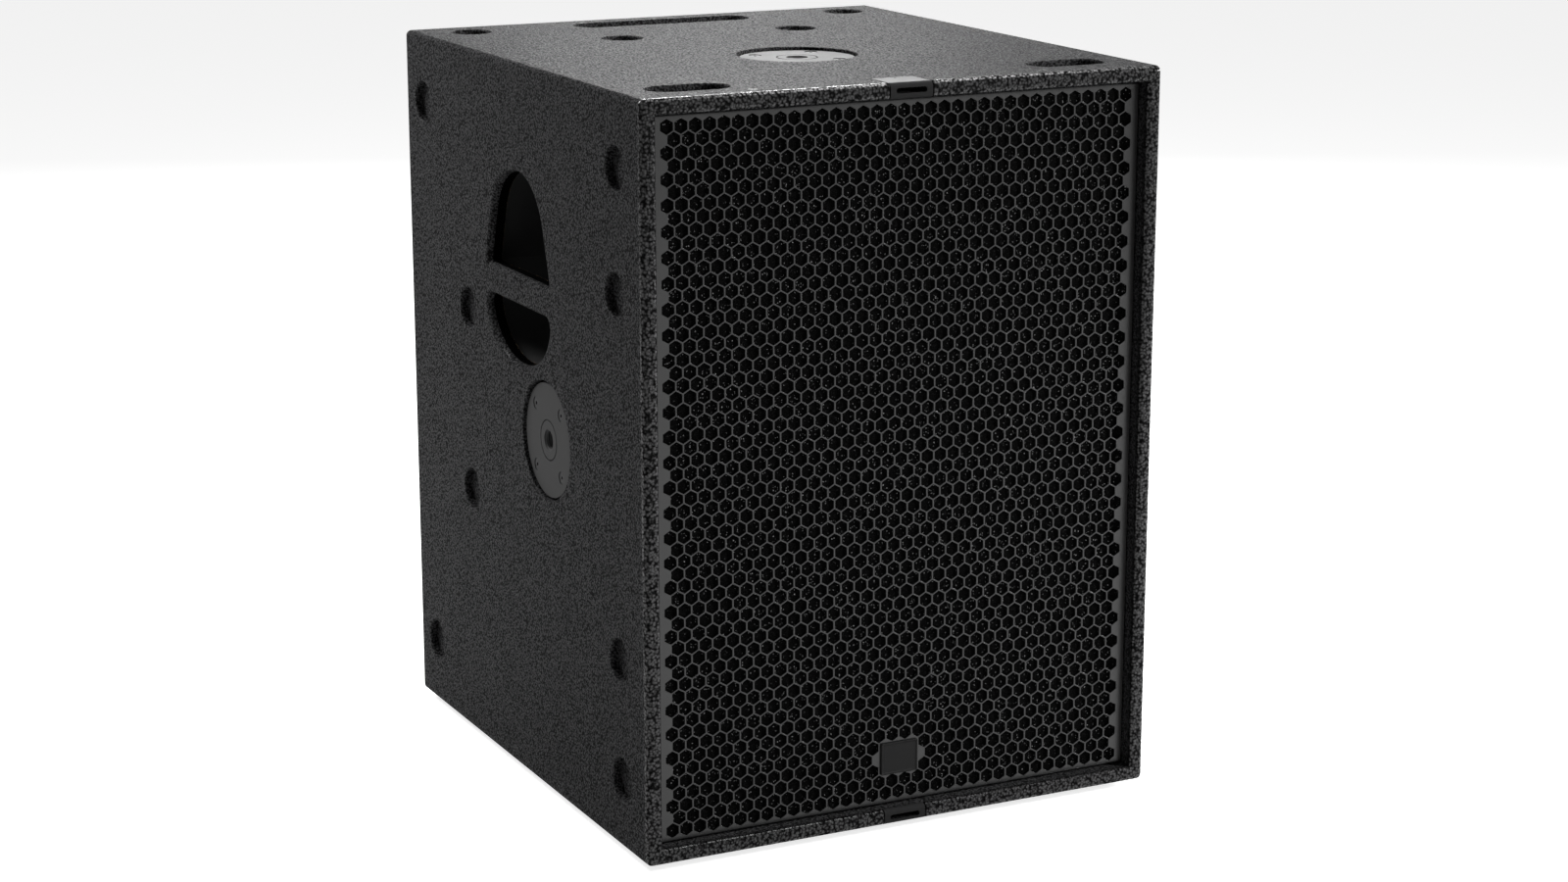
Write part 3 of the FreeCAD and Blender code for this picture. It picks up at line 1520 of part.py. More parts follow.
def write_all():
    os.makedirs("parts", exist_ok=True)
    write_node("top_panel", [make_top_panel()])
    write_node("bottom_panel", [make_bottom_panel()])
    write_node("left_side_panel", [make_left_panel()])
    write_node("right_side_panel", [make_right_panel()])
    write_node("rear_panel", [make_rear_panel()])
    write_node("front_baffle", [make_baffle()])
    write_node("port_shelf", [make_shelf()])
    write_node("port_fins", make_fins())
    write_node("window_brace", [make_brace()])
    write_node("baffle_battens", make_battens())
    write_node("damping_fleece", [make_fleece()])
    write_node("rubber_feet_bottom", make_feet(bottom_foot_seats()))
    write_node("rubber_feet_side", make_feet(side_foot_seats()))
    seats = bottom_foot_seats() + side_foot_seats()
    write_node("foot_screws", make_foot_screws(seats))
    write_node("foot_washers", make_foot_washers(seats))
    for name, point, inward, across, along in pole_flange_mounts():
        write_node(name, [make_pole_flange(point, inward, across, along)])
    write_node("pole_flange_screws", make_flange_screws())
    write_node("pole_flange_tee_nuts", make_flange_tee_nuts())
    write_node("handle_cup_left", [make_handle_cup(left, 1)])
    write_node("handle_cup_right", [make_handle_cup(right, -1)])
    write_node("handle_cup_screws", make_cup_screws())
    write_node("catch_plate_top",
               [make_catch_plate(cabinet_height, -1, cover_panel(inner_top, cabinet_height))])
    write_node("catch_plate_bottom", [make_catch_plate(0, 1, cover_panel(0, 0))])
    write_node("catch_plate_screws", make_catch_screws())
    write_node("grille", [make_grille()])
    write_node("grille_foam", [make_foam()])
    write_node("grille_screws", make_grille_screws())
    write_node("grille_inserts", make_inserts())
    write_node("badge_plate", [make_badge()])
    write_node("badge_push_nuts", make_push_nuts())
    write_node("driver_basket", [make_basket()])
    write_node("driver_rear_seal", [make_rear_seal()])
    write_node("driver_front_seal", [make_front_seal()])
    write_node("motor_top_plate", [make_top_plate()])
    write_node("motor_screws", make_motor_screws())
    write_node("ferrite_magnet", [make_magnet()])
    write_node("pole_piece", [make_pole_piece()])
    write_node("voice_coil_former", [make_former()])
    write_node("voice_coil_winding", [make_winding()])
    write_node("cone", [make_cone()])
    write_node("dust_cap", [make_dust_cap()])
    write_node("surround", [make_surround()])
    write_node("spider", [make_spider()])
    write_node("driver_bolts", make_driver_bolts())
    write_node("driver_tee_nuts", make_driver_tee_nuts())
    write_node("terminal_block", [make_terminal_block()])
    write_node("tinsel_leads", make_tinsel_leads())
    write_node("cable_plug", [make_plug()])
    write_node("speaker_cable", [make_cable()])
    write_node("cable_clips", make_clips())
    write_node("cable_clip_screws", make_clip_screws())
    write_node("terminal_dish", [make_dish()])
    write_node("dish_seal", [make_dish_seal()])
    write_node("dish_screws", make_dish_screws())
    write_node("speaker_sockets", make_sockets())
    write_node("socket_screws", make_socket_screws())


write_all()
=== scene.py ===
import math
import bmesh
import bpy
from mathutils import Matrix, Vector, noise
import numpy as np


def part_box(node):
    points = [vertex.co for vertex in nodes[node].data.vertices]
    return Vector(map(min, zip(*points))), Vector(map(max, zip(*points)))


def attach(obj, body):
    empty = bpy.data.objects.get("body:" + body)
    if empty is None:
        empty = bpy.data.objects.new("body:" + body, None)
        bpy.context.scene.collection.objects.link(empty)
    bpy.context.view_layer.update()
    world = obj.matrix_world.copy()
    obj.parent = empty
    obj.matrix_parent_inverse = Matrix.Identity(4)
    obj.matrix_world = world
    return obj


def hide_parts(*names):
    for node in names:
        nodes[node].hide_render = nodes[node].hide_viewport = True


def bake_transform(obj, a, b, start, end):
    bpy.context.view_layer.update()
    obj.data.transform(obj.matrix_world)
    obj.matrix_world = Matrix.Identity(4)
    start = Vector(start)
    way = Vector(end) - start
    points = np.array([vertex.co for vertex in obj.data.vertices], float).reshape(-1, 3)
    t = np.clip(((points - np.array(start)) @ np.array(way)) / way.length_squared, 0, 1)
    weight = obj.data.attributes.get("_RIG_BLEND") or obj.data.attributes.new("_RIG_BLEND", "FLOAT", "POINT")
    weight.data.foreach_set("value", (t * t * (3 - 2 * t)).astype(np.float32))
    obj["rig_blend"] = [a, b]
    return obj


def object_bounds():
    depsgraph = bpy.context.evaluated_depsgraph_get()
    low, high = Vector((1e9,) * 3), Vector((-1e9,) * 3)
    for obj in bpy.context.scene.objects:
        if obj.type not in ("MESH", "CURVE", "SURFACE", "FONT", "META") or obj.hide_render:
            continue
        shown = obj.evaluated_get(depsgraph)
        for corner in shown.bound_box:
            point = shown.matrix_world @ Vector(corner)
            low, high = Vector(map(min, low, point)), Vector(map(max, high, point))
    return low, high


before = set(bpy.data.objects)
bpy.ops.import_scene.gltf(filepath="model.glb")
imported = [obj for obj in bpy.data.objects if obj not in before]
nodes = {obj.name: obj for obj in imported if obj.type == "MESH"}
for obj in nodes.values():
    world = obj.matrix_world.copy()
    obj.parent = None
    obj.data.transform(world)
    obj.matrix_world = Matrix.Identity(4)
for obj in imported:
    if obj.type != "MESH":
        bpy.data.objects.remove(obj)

cadLow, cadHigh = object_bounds()
scene = bpy.context.scene
print("packed model loaded:", len(nodes), "nodes")


# camera: front left, a little above the top

cameraSetup = {"place": (-1.375, -2.776, 1.081), "turn": -26.593, "tilt": 76.082, "lens": 73.213}


def makeCamera(setup):
    data = bpy.data.cameras.new("camera")
    data.lens = setup["lens"]
    data.sensor_width = 36
    data.sensor_fit = "HORIZONTAL"
    data.clip_end = 200
    camera = bpy.data.objects.new("camera", data)
    camera.location = setup["place"]
    camera.rotation_euler = (math.radians(setup["tilt"]), 0, math.radians(setup["turn"]))
    scene.collection.objects.link(camera)
    scene.camera = camera


makeCamera(cameraSetup)
print("camera ready")


# node helpers

def plug(tree, socket, value):
    if isinstance(value, bpy.types.NodeSocket):
        tree.links.new(value, socket)
    elif value is not None:
        socket.default_value = value


def clearTree(owner):
    owner.use_nodes = True
    owner.node_tree.nodes.clear()
    return owner.node_tree


def addNode(tree, kind, inputs=None, **settings):
    # inputs: socket name or number -> a value, or an output socket to link from
    node = tree.nodes.new(kind)
    for name, value in settings.items():
        setattr(node, name, value)
    for name, value in (inputs or {}).items():
        plug(tree, node.inputs[name], value)
    return node


def maths(tree, operation, a, b=0.0, c=0.0):
    return addNode(tree, "ShaderNodeMath", {0: a, 1: b, 2: c}, operation=operation).outputs[0]


def vectorMaths(tree, operation, a, b=(0, 0, 0)):
    node = addNode(tree, "ShaderNodeVectorMath", {0: a, 1: b}, operation=operation)
    return node.outputs["Value" if operation == "LENGTH" else "Vector"]


def mixColour(tree, factor, a, b):
    return addNode(tree, "ShaderNodeMix", {0: factor, 6: a, 7: b}, data_type="RGBA").outputs[2]


def mixValue(tree, factor, a, b):
    return addNode(tree, "ShaderNodeMix", {0: factor, 2: a, 3: b}, data_type="FLOAT").outputs[0]


def rise(tree, value, low, high):
    # smooth step from 0 at low to 1 at high
    return addNode(tree, "ShaderNodeMapRange", {0: value, 1: low, 2: high},
                   interpolation_type="SMOOTHSTEP").outputs[0]


def around(tree, value, middle, spread):
    # value from 0 to 1, as spread round the middle
    return maths(tree, "MULTIPLY_ADD", value, spread, middle - spread / 2)


def noiseAt(tree, vector, scale, detail=2.0, roughness=0.5, distortion=0.0):
    return addNode(tree, "ShaderNodeTexNoise", {"Vector": vector, "Scale": scale, "Detail": detail,
                   "Roughness": roughness, "Distortion": distortion}).outputs[0]


def split(tree, vector):
    return addNode(tree, "ShaderNodeSeparateXYZ", {0: vector}).outputs


def stretch(tree, vector, scale=(1, 1, 1), turn=(0, 0, 0)):
    return addNode(tree, "ShaderNodeMapping", {"Vector": vector, "Rotation": turn, "Scale": scale}).outputs[0]


def newGroup(name, kind, inputs, outputs):
    # inputs: (label, socket type, value); outputs: (label, socket type)
    group = bpy.data.node_groups.new(name, kind)
    for label, socketType, value in inputs:
        socket = group.interface.new_socket(label, in_out="INPUT", socket_type="NodeSocket" + socketType)
        if value is not None:
            socket.default_value = value
    for label, socketType in outputs:
        group.interface.new_socket(label, in_out="OUTPUT", socket_type="NodeSocket" + socketType)
    return group, group.nodes.new("NodeGroupInput").outputs, group.nodes.new("NodeGroupOutput").inputs


def useGroup(tree, group, inputs):
    return addNode(tree, "ShaderNodeGroup", inputs, node_tree=group).outputs


def shade(value, tint=(1, 1, 1)):
    return (value * tint[0], value * tint[1], value * tint[2], 1.0)


# shared shader groups

def grainGroup():
    # structured coat: fine pebbles, and larger domes with grit where Coarse is 1
    group, given, result = newGroup("grainRelief", "ShaderNodeTree", [
        ("Vector", "Vector", None), ("Fine Scale", "Float", 420.0), ("Coarse Scale", "Float", 330.0),
        ("Coarse", "Float", 0.0)], [("Height", "Float"), ("Peak", "Float")])
    point, fineScale, coarseScale = given["Vector"], given["Fine Scale"], given["Coarse Scale"]
    pebble = addNode(group, "ShaderNodeTexVoronoi", {"Vector": point, "Smoothness": 0.5, "Scale": fineScale},
                     feature="SMOOTH_F1").outputs["Distance"]
    fine = maths(group, "MULTIPLY_ADD", noiseAt(group, point, fineScale, 2.0, 0.75), 1.1,
                 maths(group, "MULTIPLY", pebble, -0.7))
    dome = addNode(group, "ShaderNodeTexVoronoi", {"Vector": point, "Smoothness": 0.4, "Scale": coarseScale},
                   feature="SMOOTH_F1").outputs["Distance"]
    grit = noiseAt(group, point, maths(group, "MULTIPLY", coarseScale, 1.7), 1.0, 0.6)
    coarse = maths(group, "MULTIPLY_ADD", dome, -0.9, maths(group, "MULTIPLY_ADD", grit, 0.5, 0.5))
    plug(group, result["Height"], mixValue(group, given["Coarse"], fine, coarse))
    # Peak marks the relief's tops; the cabinet paint takes its painted highlights and painted shade from it
    peak = mixValue(group, given["Coarse"], rise(group, fine, 0.05, 0.42), rise(group, coarse, 0.05, 0.68))
    plug(group, result["Peak"], peak)
    return group


def plyGroup():
    # birch plywood: thin plies along Across, long grain on the faces
    group, given, result = newGroup("plyWood", "ShaderNodeTree", [
        ("Vector", "Vector", None), ("Across", "Float", 0.0), ("Ply", "Float", 0.0014)],
        [("Color", "Color"), ("Height", "Float")])
    layer = maths(group, "DIVIDE", given["Across"], given["Ply"])
    even = maths(group, "PINGPONG", layer, 1.0)
    stripe = rise(group, even, 0.42, 0.58)
    grain = noiseAt(group, stretch(group, given["Vector"], (9, 9, 240)), 1.0, 6.0, 0.62, 0.6)
    cross = noiseAt(group, stretch(group, given["Vector"], (240, 240, 9)), 1.0, 5.0, 0.6, 0.4)
    cloud = noiseAt(group, given["Vector"], 6.0, 3.0)
    fibre = mixValue(group, stripe, grain, cross)
    pale = mixColour(group, fibre, shade(1, (0.52, 0.38, 0.24)), shade(1, (0.72, 0.57, 0.39)))
    deep = mixColour(group, fibre, shade(1, (0.38, 0.25, 0.14)), shade(1, (0.58, 0.42, 0.26)))
    wood = mixColour(group, stripe, pale, deep)
    worn = mixColour(group, maths(group, "MULTIPLY", cloud, 0.35), wood, shade(1, (0.6, 0.45, 0.3)))
    plug(group, result["Color"], worn)
    plug(group, result["Height"], fibre)
    return group


faceTolerance = 0.00003


def insideGroup():
    # 1 inside a box and on its faces
    inputs = [("Vector", "Vector", None), ("Middle", "Vector", None), ("Half Size", "Vector", None)]
    group, given, result = newGroup("insideOfBox", "ShaderNodeTree", inputs, [("Mask", "Float")])
    away = vectorMaths(group, "ABSOLUTE", vectorMaths(group, "SUBTRACT", given["Vector"], given["Middle"]))
    room = split(group, vectorMaths(group, "SUBTRACT", given["Half Size"], away))
    least = maths(group, "MINIMUM", maths(group, "MINIMUM", room[0], room[1]), room[2])
    plug(group, result["Mask"], maths(group, "GREATER_THAN", least, -faceTolerance))
    return group


def weaveGroup():
    # threads that pass over and under each other in two directions
    group, given, result = newGroup("weave", "ShaderNodeTree", [
        ("Vector", "Vector", None), ("Threads", "Float", 1200.0)], [("Height", "Float")])
    part = split(group, given["Vector"])
    across = maths(group, "SINE", maths(group, "MULTIPLY", part[0], given["Threads"]))
    along = maths(group, "SINE", maths(group, "MULTIPLY", part[2], given["Threads"]))
    both = maths(group, "MULTIPLY", across, along)
    plug(group, result["Height"], maths(group, "MULTIPLY_ADD", both, 0.5, 0.5))
    return group


def threadGroup():
    # helix of a screw thread round the local z axis
    group, given, result = newGroup("screwThread", "ShaderNodeTree", [
        ("Vector", "Vector", None), ("Pitch", "Float", 0.0025), ("Radius", "Float", 0.0093)],
        [("Height", "Float"), ("Bore", "Float")])
    part = split(group, given["Vector"])
    turn = maths(group, "DIVIDE", maths(group, "ARCTAN2", part[1], part[0]), 2 * math.pi)
    rows = maths(group, "ADD", maths(group, "DIVIDE", part[2], given["Pitch"]), turn)
    plug(group, result["Height"], maths(group, "PINGPONG", rows, 0.5))
    flat = addNode(group, "ShaderNodeCombineXYZ", {0: part[0], 1: part[1], 2: 0.0}).outputs[0]
    plug(group, result["Bore"], maths(group, "LESS_THAN", vectorMaths(group, "LENGTH", flat), given["Radius"]))
    return group


grainRelief = grainGroup()
plyWood = plyGroup()
insideOfBox = insideGroup()
weave = weaveGroup()
screwThread = threadGroup()


# materials

def newMaterial(name, **sockets):
    material = bpy.data.materials.new(name)
    tree = clearTree(material)
    values = {key.replace("_", " "): value for key, value in sockets.items()}
    shader = addNode(tree, "ShaderNodeBsdfPrincipled", values)
    addNode(tree, "ShaderNodeOutputMaterial", {"Surface": shader.outputs[0]})
    point = addNode(tree, "ShaderNodeTexCoord").outputs["Object"]
    return material, tree, shader, point


def bump(tree, shader, height, distance):
    node = addNode(tree, "ShaderNodeBump", {"Height": height, "Distance": distance, "Strength": 1.0})
    plug(tree, shader.inputs["Normal"], node.outputs[0])


def dress(material, *names):
    for name in names:
        for slot in nodes[name].material_slots:
            slot.material = material


# the grain's hollows take a near-black tone, as painted shade, and its tops a lighter one, as painted highlight;
# on the front frame the tops are painted darker than on the sides, as painted shade against its brighter light.
# frontEdge is how deep the front frame's grain reaches, frontPainted how deep the paint goes into the opening,
# and thinDepth how far below the faces the handle's smooth cut walls start, all in metres
paintLook = {"panel": 0.015, "shadedValley": 0.003, "peak": 0.056, "frontShadedPeak": 0.024, "tint": (1, 1, 1.03),
             "cloudScale": 5.0, "cloudShare": 0.2, "cutShadeShare": 0.2, "roughness": 0.55, "cloudRoughness": 0.06,
             "polish": 0.12, "woodRoughness": 0.62, "specular": 0.004, "glossSide": 0.04, "glossFront": 1.0,
             "coatRoughness": 0.24, "fineScale": 480.0, "coarseScale": 390.0, "relief": 0.0024,
             "fineShare": 0.42, "smoothShare": 0.05, "frontEdge": 0.004, "frontPainted": 0.06, "handleY": 0.08,
             "handleLow": 0.395, "handleHigh": 0.612, "thinDepth": 0.006}


def insideMask(tree, point, middle, half):
    return useGroup(tree, insideOfBox, {"Vector": point, "Middle": middle, "Half Size": half})["Mask"]


def makeCabinetPaint(look):
    low, high = cadLow.copy(), cadHigh.copy()
    low.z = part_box("bottom_panel")[0].z
    high.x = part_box("right_side_panel")[1].x
    panel = look["panel"]
    roomLow = low + Vector((panel, look["frontPainted"], panel))
    roomHigh = high - Vector((panel, panel, panel))
    middle = (roomLow + roomHigh) / 2
    half = (roomHigh - roomLow) / 2
    material, tree, shader, point = newMaterial("cabinetPaint", Specular_IOR_Level=look["specular"],
                                                Coat_Roughness=look["coatRoughness"])
    front = rise(tree, split(tree, point)[1], low.y + look["frontEdge"] * 2, low.y + look["frontEdge"])
    grain = useGroup(tree, grainRelief, {"Vector": point, "Fine Scale": look["fineScale"],
                     "Coarse Scale": look["coarseScale"], "Coarse": front})
    inside = insideMask(tree, point, middle, half)
    wood = useGroup(tree, plyWood, {"Vector": point, "Across": split(tree, point)[2]})
    handleMiddle = Vector((middle.x, (low.y + high.y) / 2, (look["handleLow"] + look["handleHigh"]) / 2))
    handleHalf = Vector(((high.x - low.x) / 2 - look["thinDepth"], look["handleY"],
                         (look["handleHigh"] - look["handleLow"]) / 2))
    thin = insideMask(tree, point, handleMiddle, handleHalf)
    cloud = noiseAt(tree, point, look["cloudScale"], 3.0)
    # on the front frame the tops are painted darker than on the sides: painted shade against the front's brighter
    # light
    raised = mixColour(tree, front, shade(look["peak"], look["tint"]), shade(look["frontShadedPeak"], look["tint"]))
    # hollows near black as painted shade, tops lighter as painted highlight
    coat = mixColour(tree, grain["Peak"], shade(look["shadedValley"]), raised)
    coat = mixColour(tree, maths(tree, "MULTIPLY", cloud, look["cloudShare"]), coat, raised)
    # the handle's cut walls are painted near black, as painted shade inside the opening
    coat = mixColour(tree, thin, coat, shade(look["shadedValley"] * look["cutShadeShare"]))
    plug(tree, shader.inputs["Base Color"], mixColour(tree, inside, coat, wood["Color"]))
    rough = around(tree, cloud, look["roughness"], look["cloudRoughness"])
    rough = maths(tree, "SUBTRACT", rough, maths(tree, "MULTIPLY", grain["Peak"], look["polish"]))
    plug(tree, shader.inputs["Roughness"], mixValue(tree, inside, rough, look["woodRoughness"]))
    gloss = maths(tree, "MULTIPLY", grain["Peak"], mixValue(tree, front, look["glossSide"], look["glossFront"]))
    bare = maths(tree, "SUBTRACT", 1.0, maths(tree, "MAXIMUM", inside, thin))
    plug(tree, shader.inputs["Coat Weight"], maths(tree, "MULTIPLY", gloss, bare))
    share = mixValue(tree, front, look["fineShare"], 1.0)
    share = mixValue(tree, maths(tree, "MAXIMUM", inside, thin), share, look["smoothShare"])
    height = mixValue(tree, inside, grain["Height"], wood["Height"])
    bump(tree, shader, maths(tree, "MULTIPLY", height, share), look["relief"])
    return material


def makeCoat(name, base, roughness, specular, grain, depth, cloud=0.12):
    # sprayed, powder or moulded finish with a little orange peel
    material, tree, shader, point = newMaterial(name, Specular_IOR_Level=specular)
    soft = noiseAt(tree, point, 7.0, 3.0)
    tone = mixColour(tree, soft, shade(base * (1 - cloud)), shade(base * (1 + cloud), (1, 1, 1.02)))
    plug(tree, shader.inputs["Base Color"], tone)
    plug(tree, shader.inputs["Roughness"], around(tree, soft, roughness, 0.1))
    bump(tree, shader, noiseAt(tree, point, grain, 2.0, 0.6), depth)
    return material


threadDepth = 0.0009


def makeThreadedCoat(name, base, roughness, specular, centre, axis):
    # satin plate coat, with a screw thread in its centre bore
    material, tree, shader, point = newMaterial(name, Specular_IOR_Level=specular)
    turn = (0, math.radians(-90), 0) if axis == "x" else (0, 0, 0)
    local = stretch(tree, vectorMaths(tree, "SUBTRACT", point, centre), turn=turn)
    thread = useGroup(tree, screwThread, {"Vector": local})
    soft = noiseAt(tree, point, 40.0, 4.0, 0.6)
    tone = mixColour(tree, soft, shade(base * 0.92), shade(base * 1.08))
    plug(tree, shader.inputs["Base Color"], mixColour(tree, thread["Bore"], tone, shade(0.05)))
    plug(tree, shader.inputs["Metallic"], maths(tree, "MULTIPLY", thread["Bore"], 0.4))
    plug(tree, shader.inputs["Roughness"], around(tree, soft, roughness, 0.1))
    peel = maths(tree, "MULTIPLY", noiseAt(tree, point, 1100.0, 2.0), 0.05)
    bump(tree, shader, mixValue(tree, thread["Bore"], peel, thread["Height"]), threadDepth)
    return material


def makePlywood(name, across):
    material, tree, shader, point = newMaterial(name, Specular_IOR_Level=0.35, Roughness=0.6)
    wood = useGroup(tree, plyWood, {"Vector": point, "Across": split(tree, point)["xyz".index(across)]})
    plug(tree, shader.inputs["Base Color"], wood["Color"])
    bump(tree, shader, wood["Height"], 0.00008)
    return material


latheRings = 9000.0


def makeMetal(name, colour, roughness, scratch=0.00002, turned=None):
    # bare or plated metal; turned gives the centre of lathe rings
    material, tree, shader, point = newMaterial(name, Metallic=1.0)
    if turned is None:
        lines = noiseAt(tree, stretch(tree, point, (60, 60, 900)), 1.0, 4.0, 0.6)
    else:
        part = split(tree, vectorMaths(tree, "SUBTRACT", point, turned))
        flat = addNode(tree, "ShaderNodeCombineXYZ", {0: part[0], 1: 0.0, 2: part[2]}).outputs[0]
        lines = maths(tree, "SINE", maths(tree, "MULTIPLY", vectorMaths(tree, "LENGTH", flat), latheRings))
    stain = noiseAt(tree, point, 60.0, 4.0, 0.6)
    dark = tuple(value * 0.78 for value in colour)
    plug(tree, shader.inputs["Base Color"], mixColour(tree, stain, (*dark, 1), (*colour, 1)))
    plug(tree, shader.inputs["Roughness"], around(tree, stain, roughness, 0.16))
    bump(tree, shader, lines, scratch)
    return material


def makeRubber(name, base=0.018):
    material, tree, shader, point = newMaterial(name, Specular_IOR_Level=0.3)
    dust = noiseAt(tree, point, 90.0, 5.0, 0.65)
    dusty = shade(base * 2.0, (1, 0.98, 0.95))
    plug(tree, shader.inputs["Base Color"], mixColour(tree, dust, shade(base), dusty))
    plug(tree, shader.inputs["Roughness"], around(tree, dust, 0.72, 0.2))
    bump(tree, shader, noiseAt(tree, point, 2600.0, 2.0), 0.00008)
    return material


foamLook = {"cellScale": 560.0, "sparkScale": 470.0, "shadedPit": 0.0008, "strut": 0.006, "glint": 0.24,
            "specular": 0.02, "coatRoughness": 0.2, "dull": 0.9, "shiny": 0.3, "glintLift": 0.6,
            "relief": 0.0009}


def makeFoamMaterial(look):
    # open cells: the pits are painted black between paler struts, as painted shade, and a few struts are painted
    # pale, as painted glints, besides being glossier
    material, tree, shader, point = newMaterial("reticulatedFoam", Specular_IOR_Level=look["specular"],
                                                Coat_Roughness=look["coatRoughness"])
    cell = addNode(tree, "ShaderNodeTexVoronoi", {"Vector": point, "Scale": look["cellScale"]},
                   feature="DISTANCE_TO_EDGE")
    strut = rise(tree, cell.outputs["Distance"], 0.13, 0.03)
    spark = addNode(tree, "ShaderNodeTexVoronoi", {"Vector": point, "Scale": look["sparkScale"]}, feature="F1")
    lucky = rise(tree, split(tree, spark.outputs["Color"])[0], 0.7, 0.77)
    near = rise(tree, spark.outputs["Distance"], 0.4, 0.2)
    glint = maths(tree, "MULTIPLY", maths(tree, "MULTIPLY", lucky, near), strut)
    # pits darker than struts: painted shade in the cells
    body = mixColour(tree, strut, shade(look["shadedPit"]), shade(look["strut"]))
    # glint spots painted pale: painted highlight, on top of their real gloss
    plug(tree, shader.inputs["Base Color"], mixColour(tree, glint, body, shade(look["glint"])))
    plug(tree, shader.inputs["Coat Weight"], glint)
    plug(tree, shader.inputs["Roughness"], mixValue(tree, glint, look["dull"], look["shiny"]))
    height = maths(tree, "ADD", strut, maths(tree, "MULTIPLY", glint, look["glintLift"]))
    bump(tree, shader, height, look["relief"])
    return material


def makeFabric(name, low, high, threads, depth, roughness):
    material, tree, shader, point = newMaterial(name, Specular_IOR_Level=0.3, Roughness=roughness)
    woven = useGroup(tree, weave, {"Vector": point, "Threads": threads})["Height"]
    cloud = noiseAt(tree, point, 30.0, 4.0, 0.6)
    mix = maths(tree, "MULTIPLY_ADD", cloud, 0.5, maths(tree, "MULTIPLY", woven, 0.5))
    plug(tree, shader.inputs["Base Color"], mixColour(tree, mix, (*low, 1), (*high, 1)))
    bump(tree, shader, woven, depth)
    return material


def makeFibre(name, low, high, scale, depth, sheen=0.3):
    # matted fibres, as in fleece and paper pulp
    material, tree, shader, point = newMaterial(name, Specular_IOR_Level=0.25, Roughness=0.9,
                                                Sheen_Weight=sheen)
    swirl = addNode(tree, "ShaderNodeTexNoise", {"Vector": point, "Scale": scale * 0.2}).outputs["Color"]
    bent = vectorMaths(tree, "ADD", point, vectorMaths(tree, "MULTIPLY", swirl, (0.02, 0.02, 0.02)))
    one = noiseAt(tree, stretch(tree, bent, (scale, scale * 0.1, scale * 0.12)), 1.0, 3.0, 0.7)
    two = noiseAt(tree, stretch(tree, bent, (scale * 0.12, scale * 0.1, scale)), 1.0, 3.0, 0.7)
    fibre = maths(tree, "MAXIMUM", one, two)
    pale = rise(tree, fibre, 0.4, 0.75)
    plug(tree, shader.inputs["Base Color"], mixColour(tree, pale, (*low, 1), (*high, 1)))
    bump(tree, shader, fibre, depth)
    return material


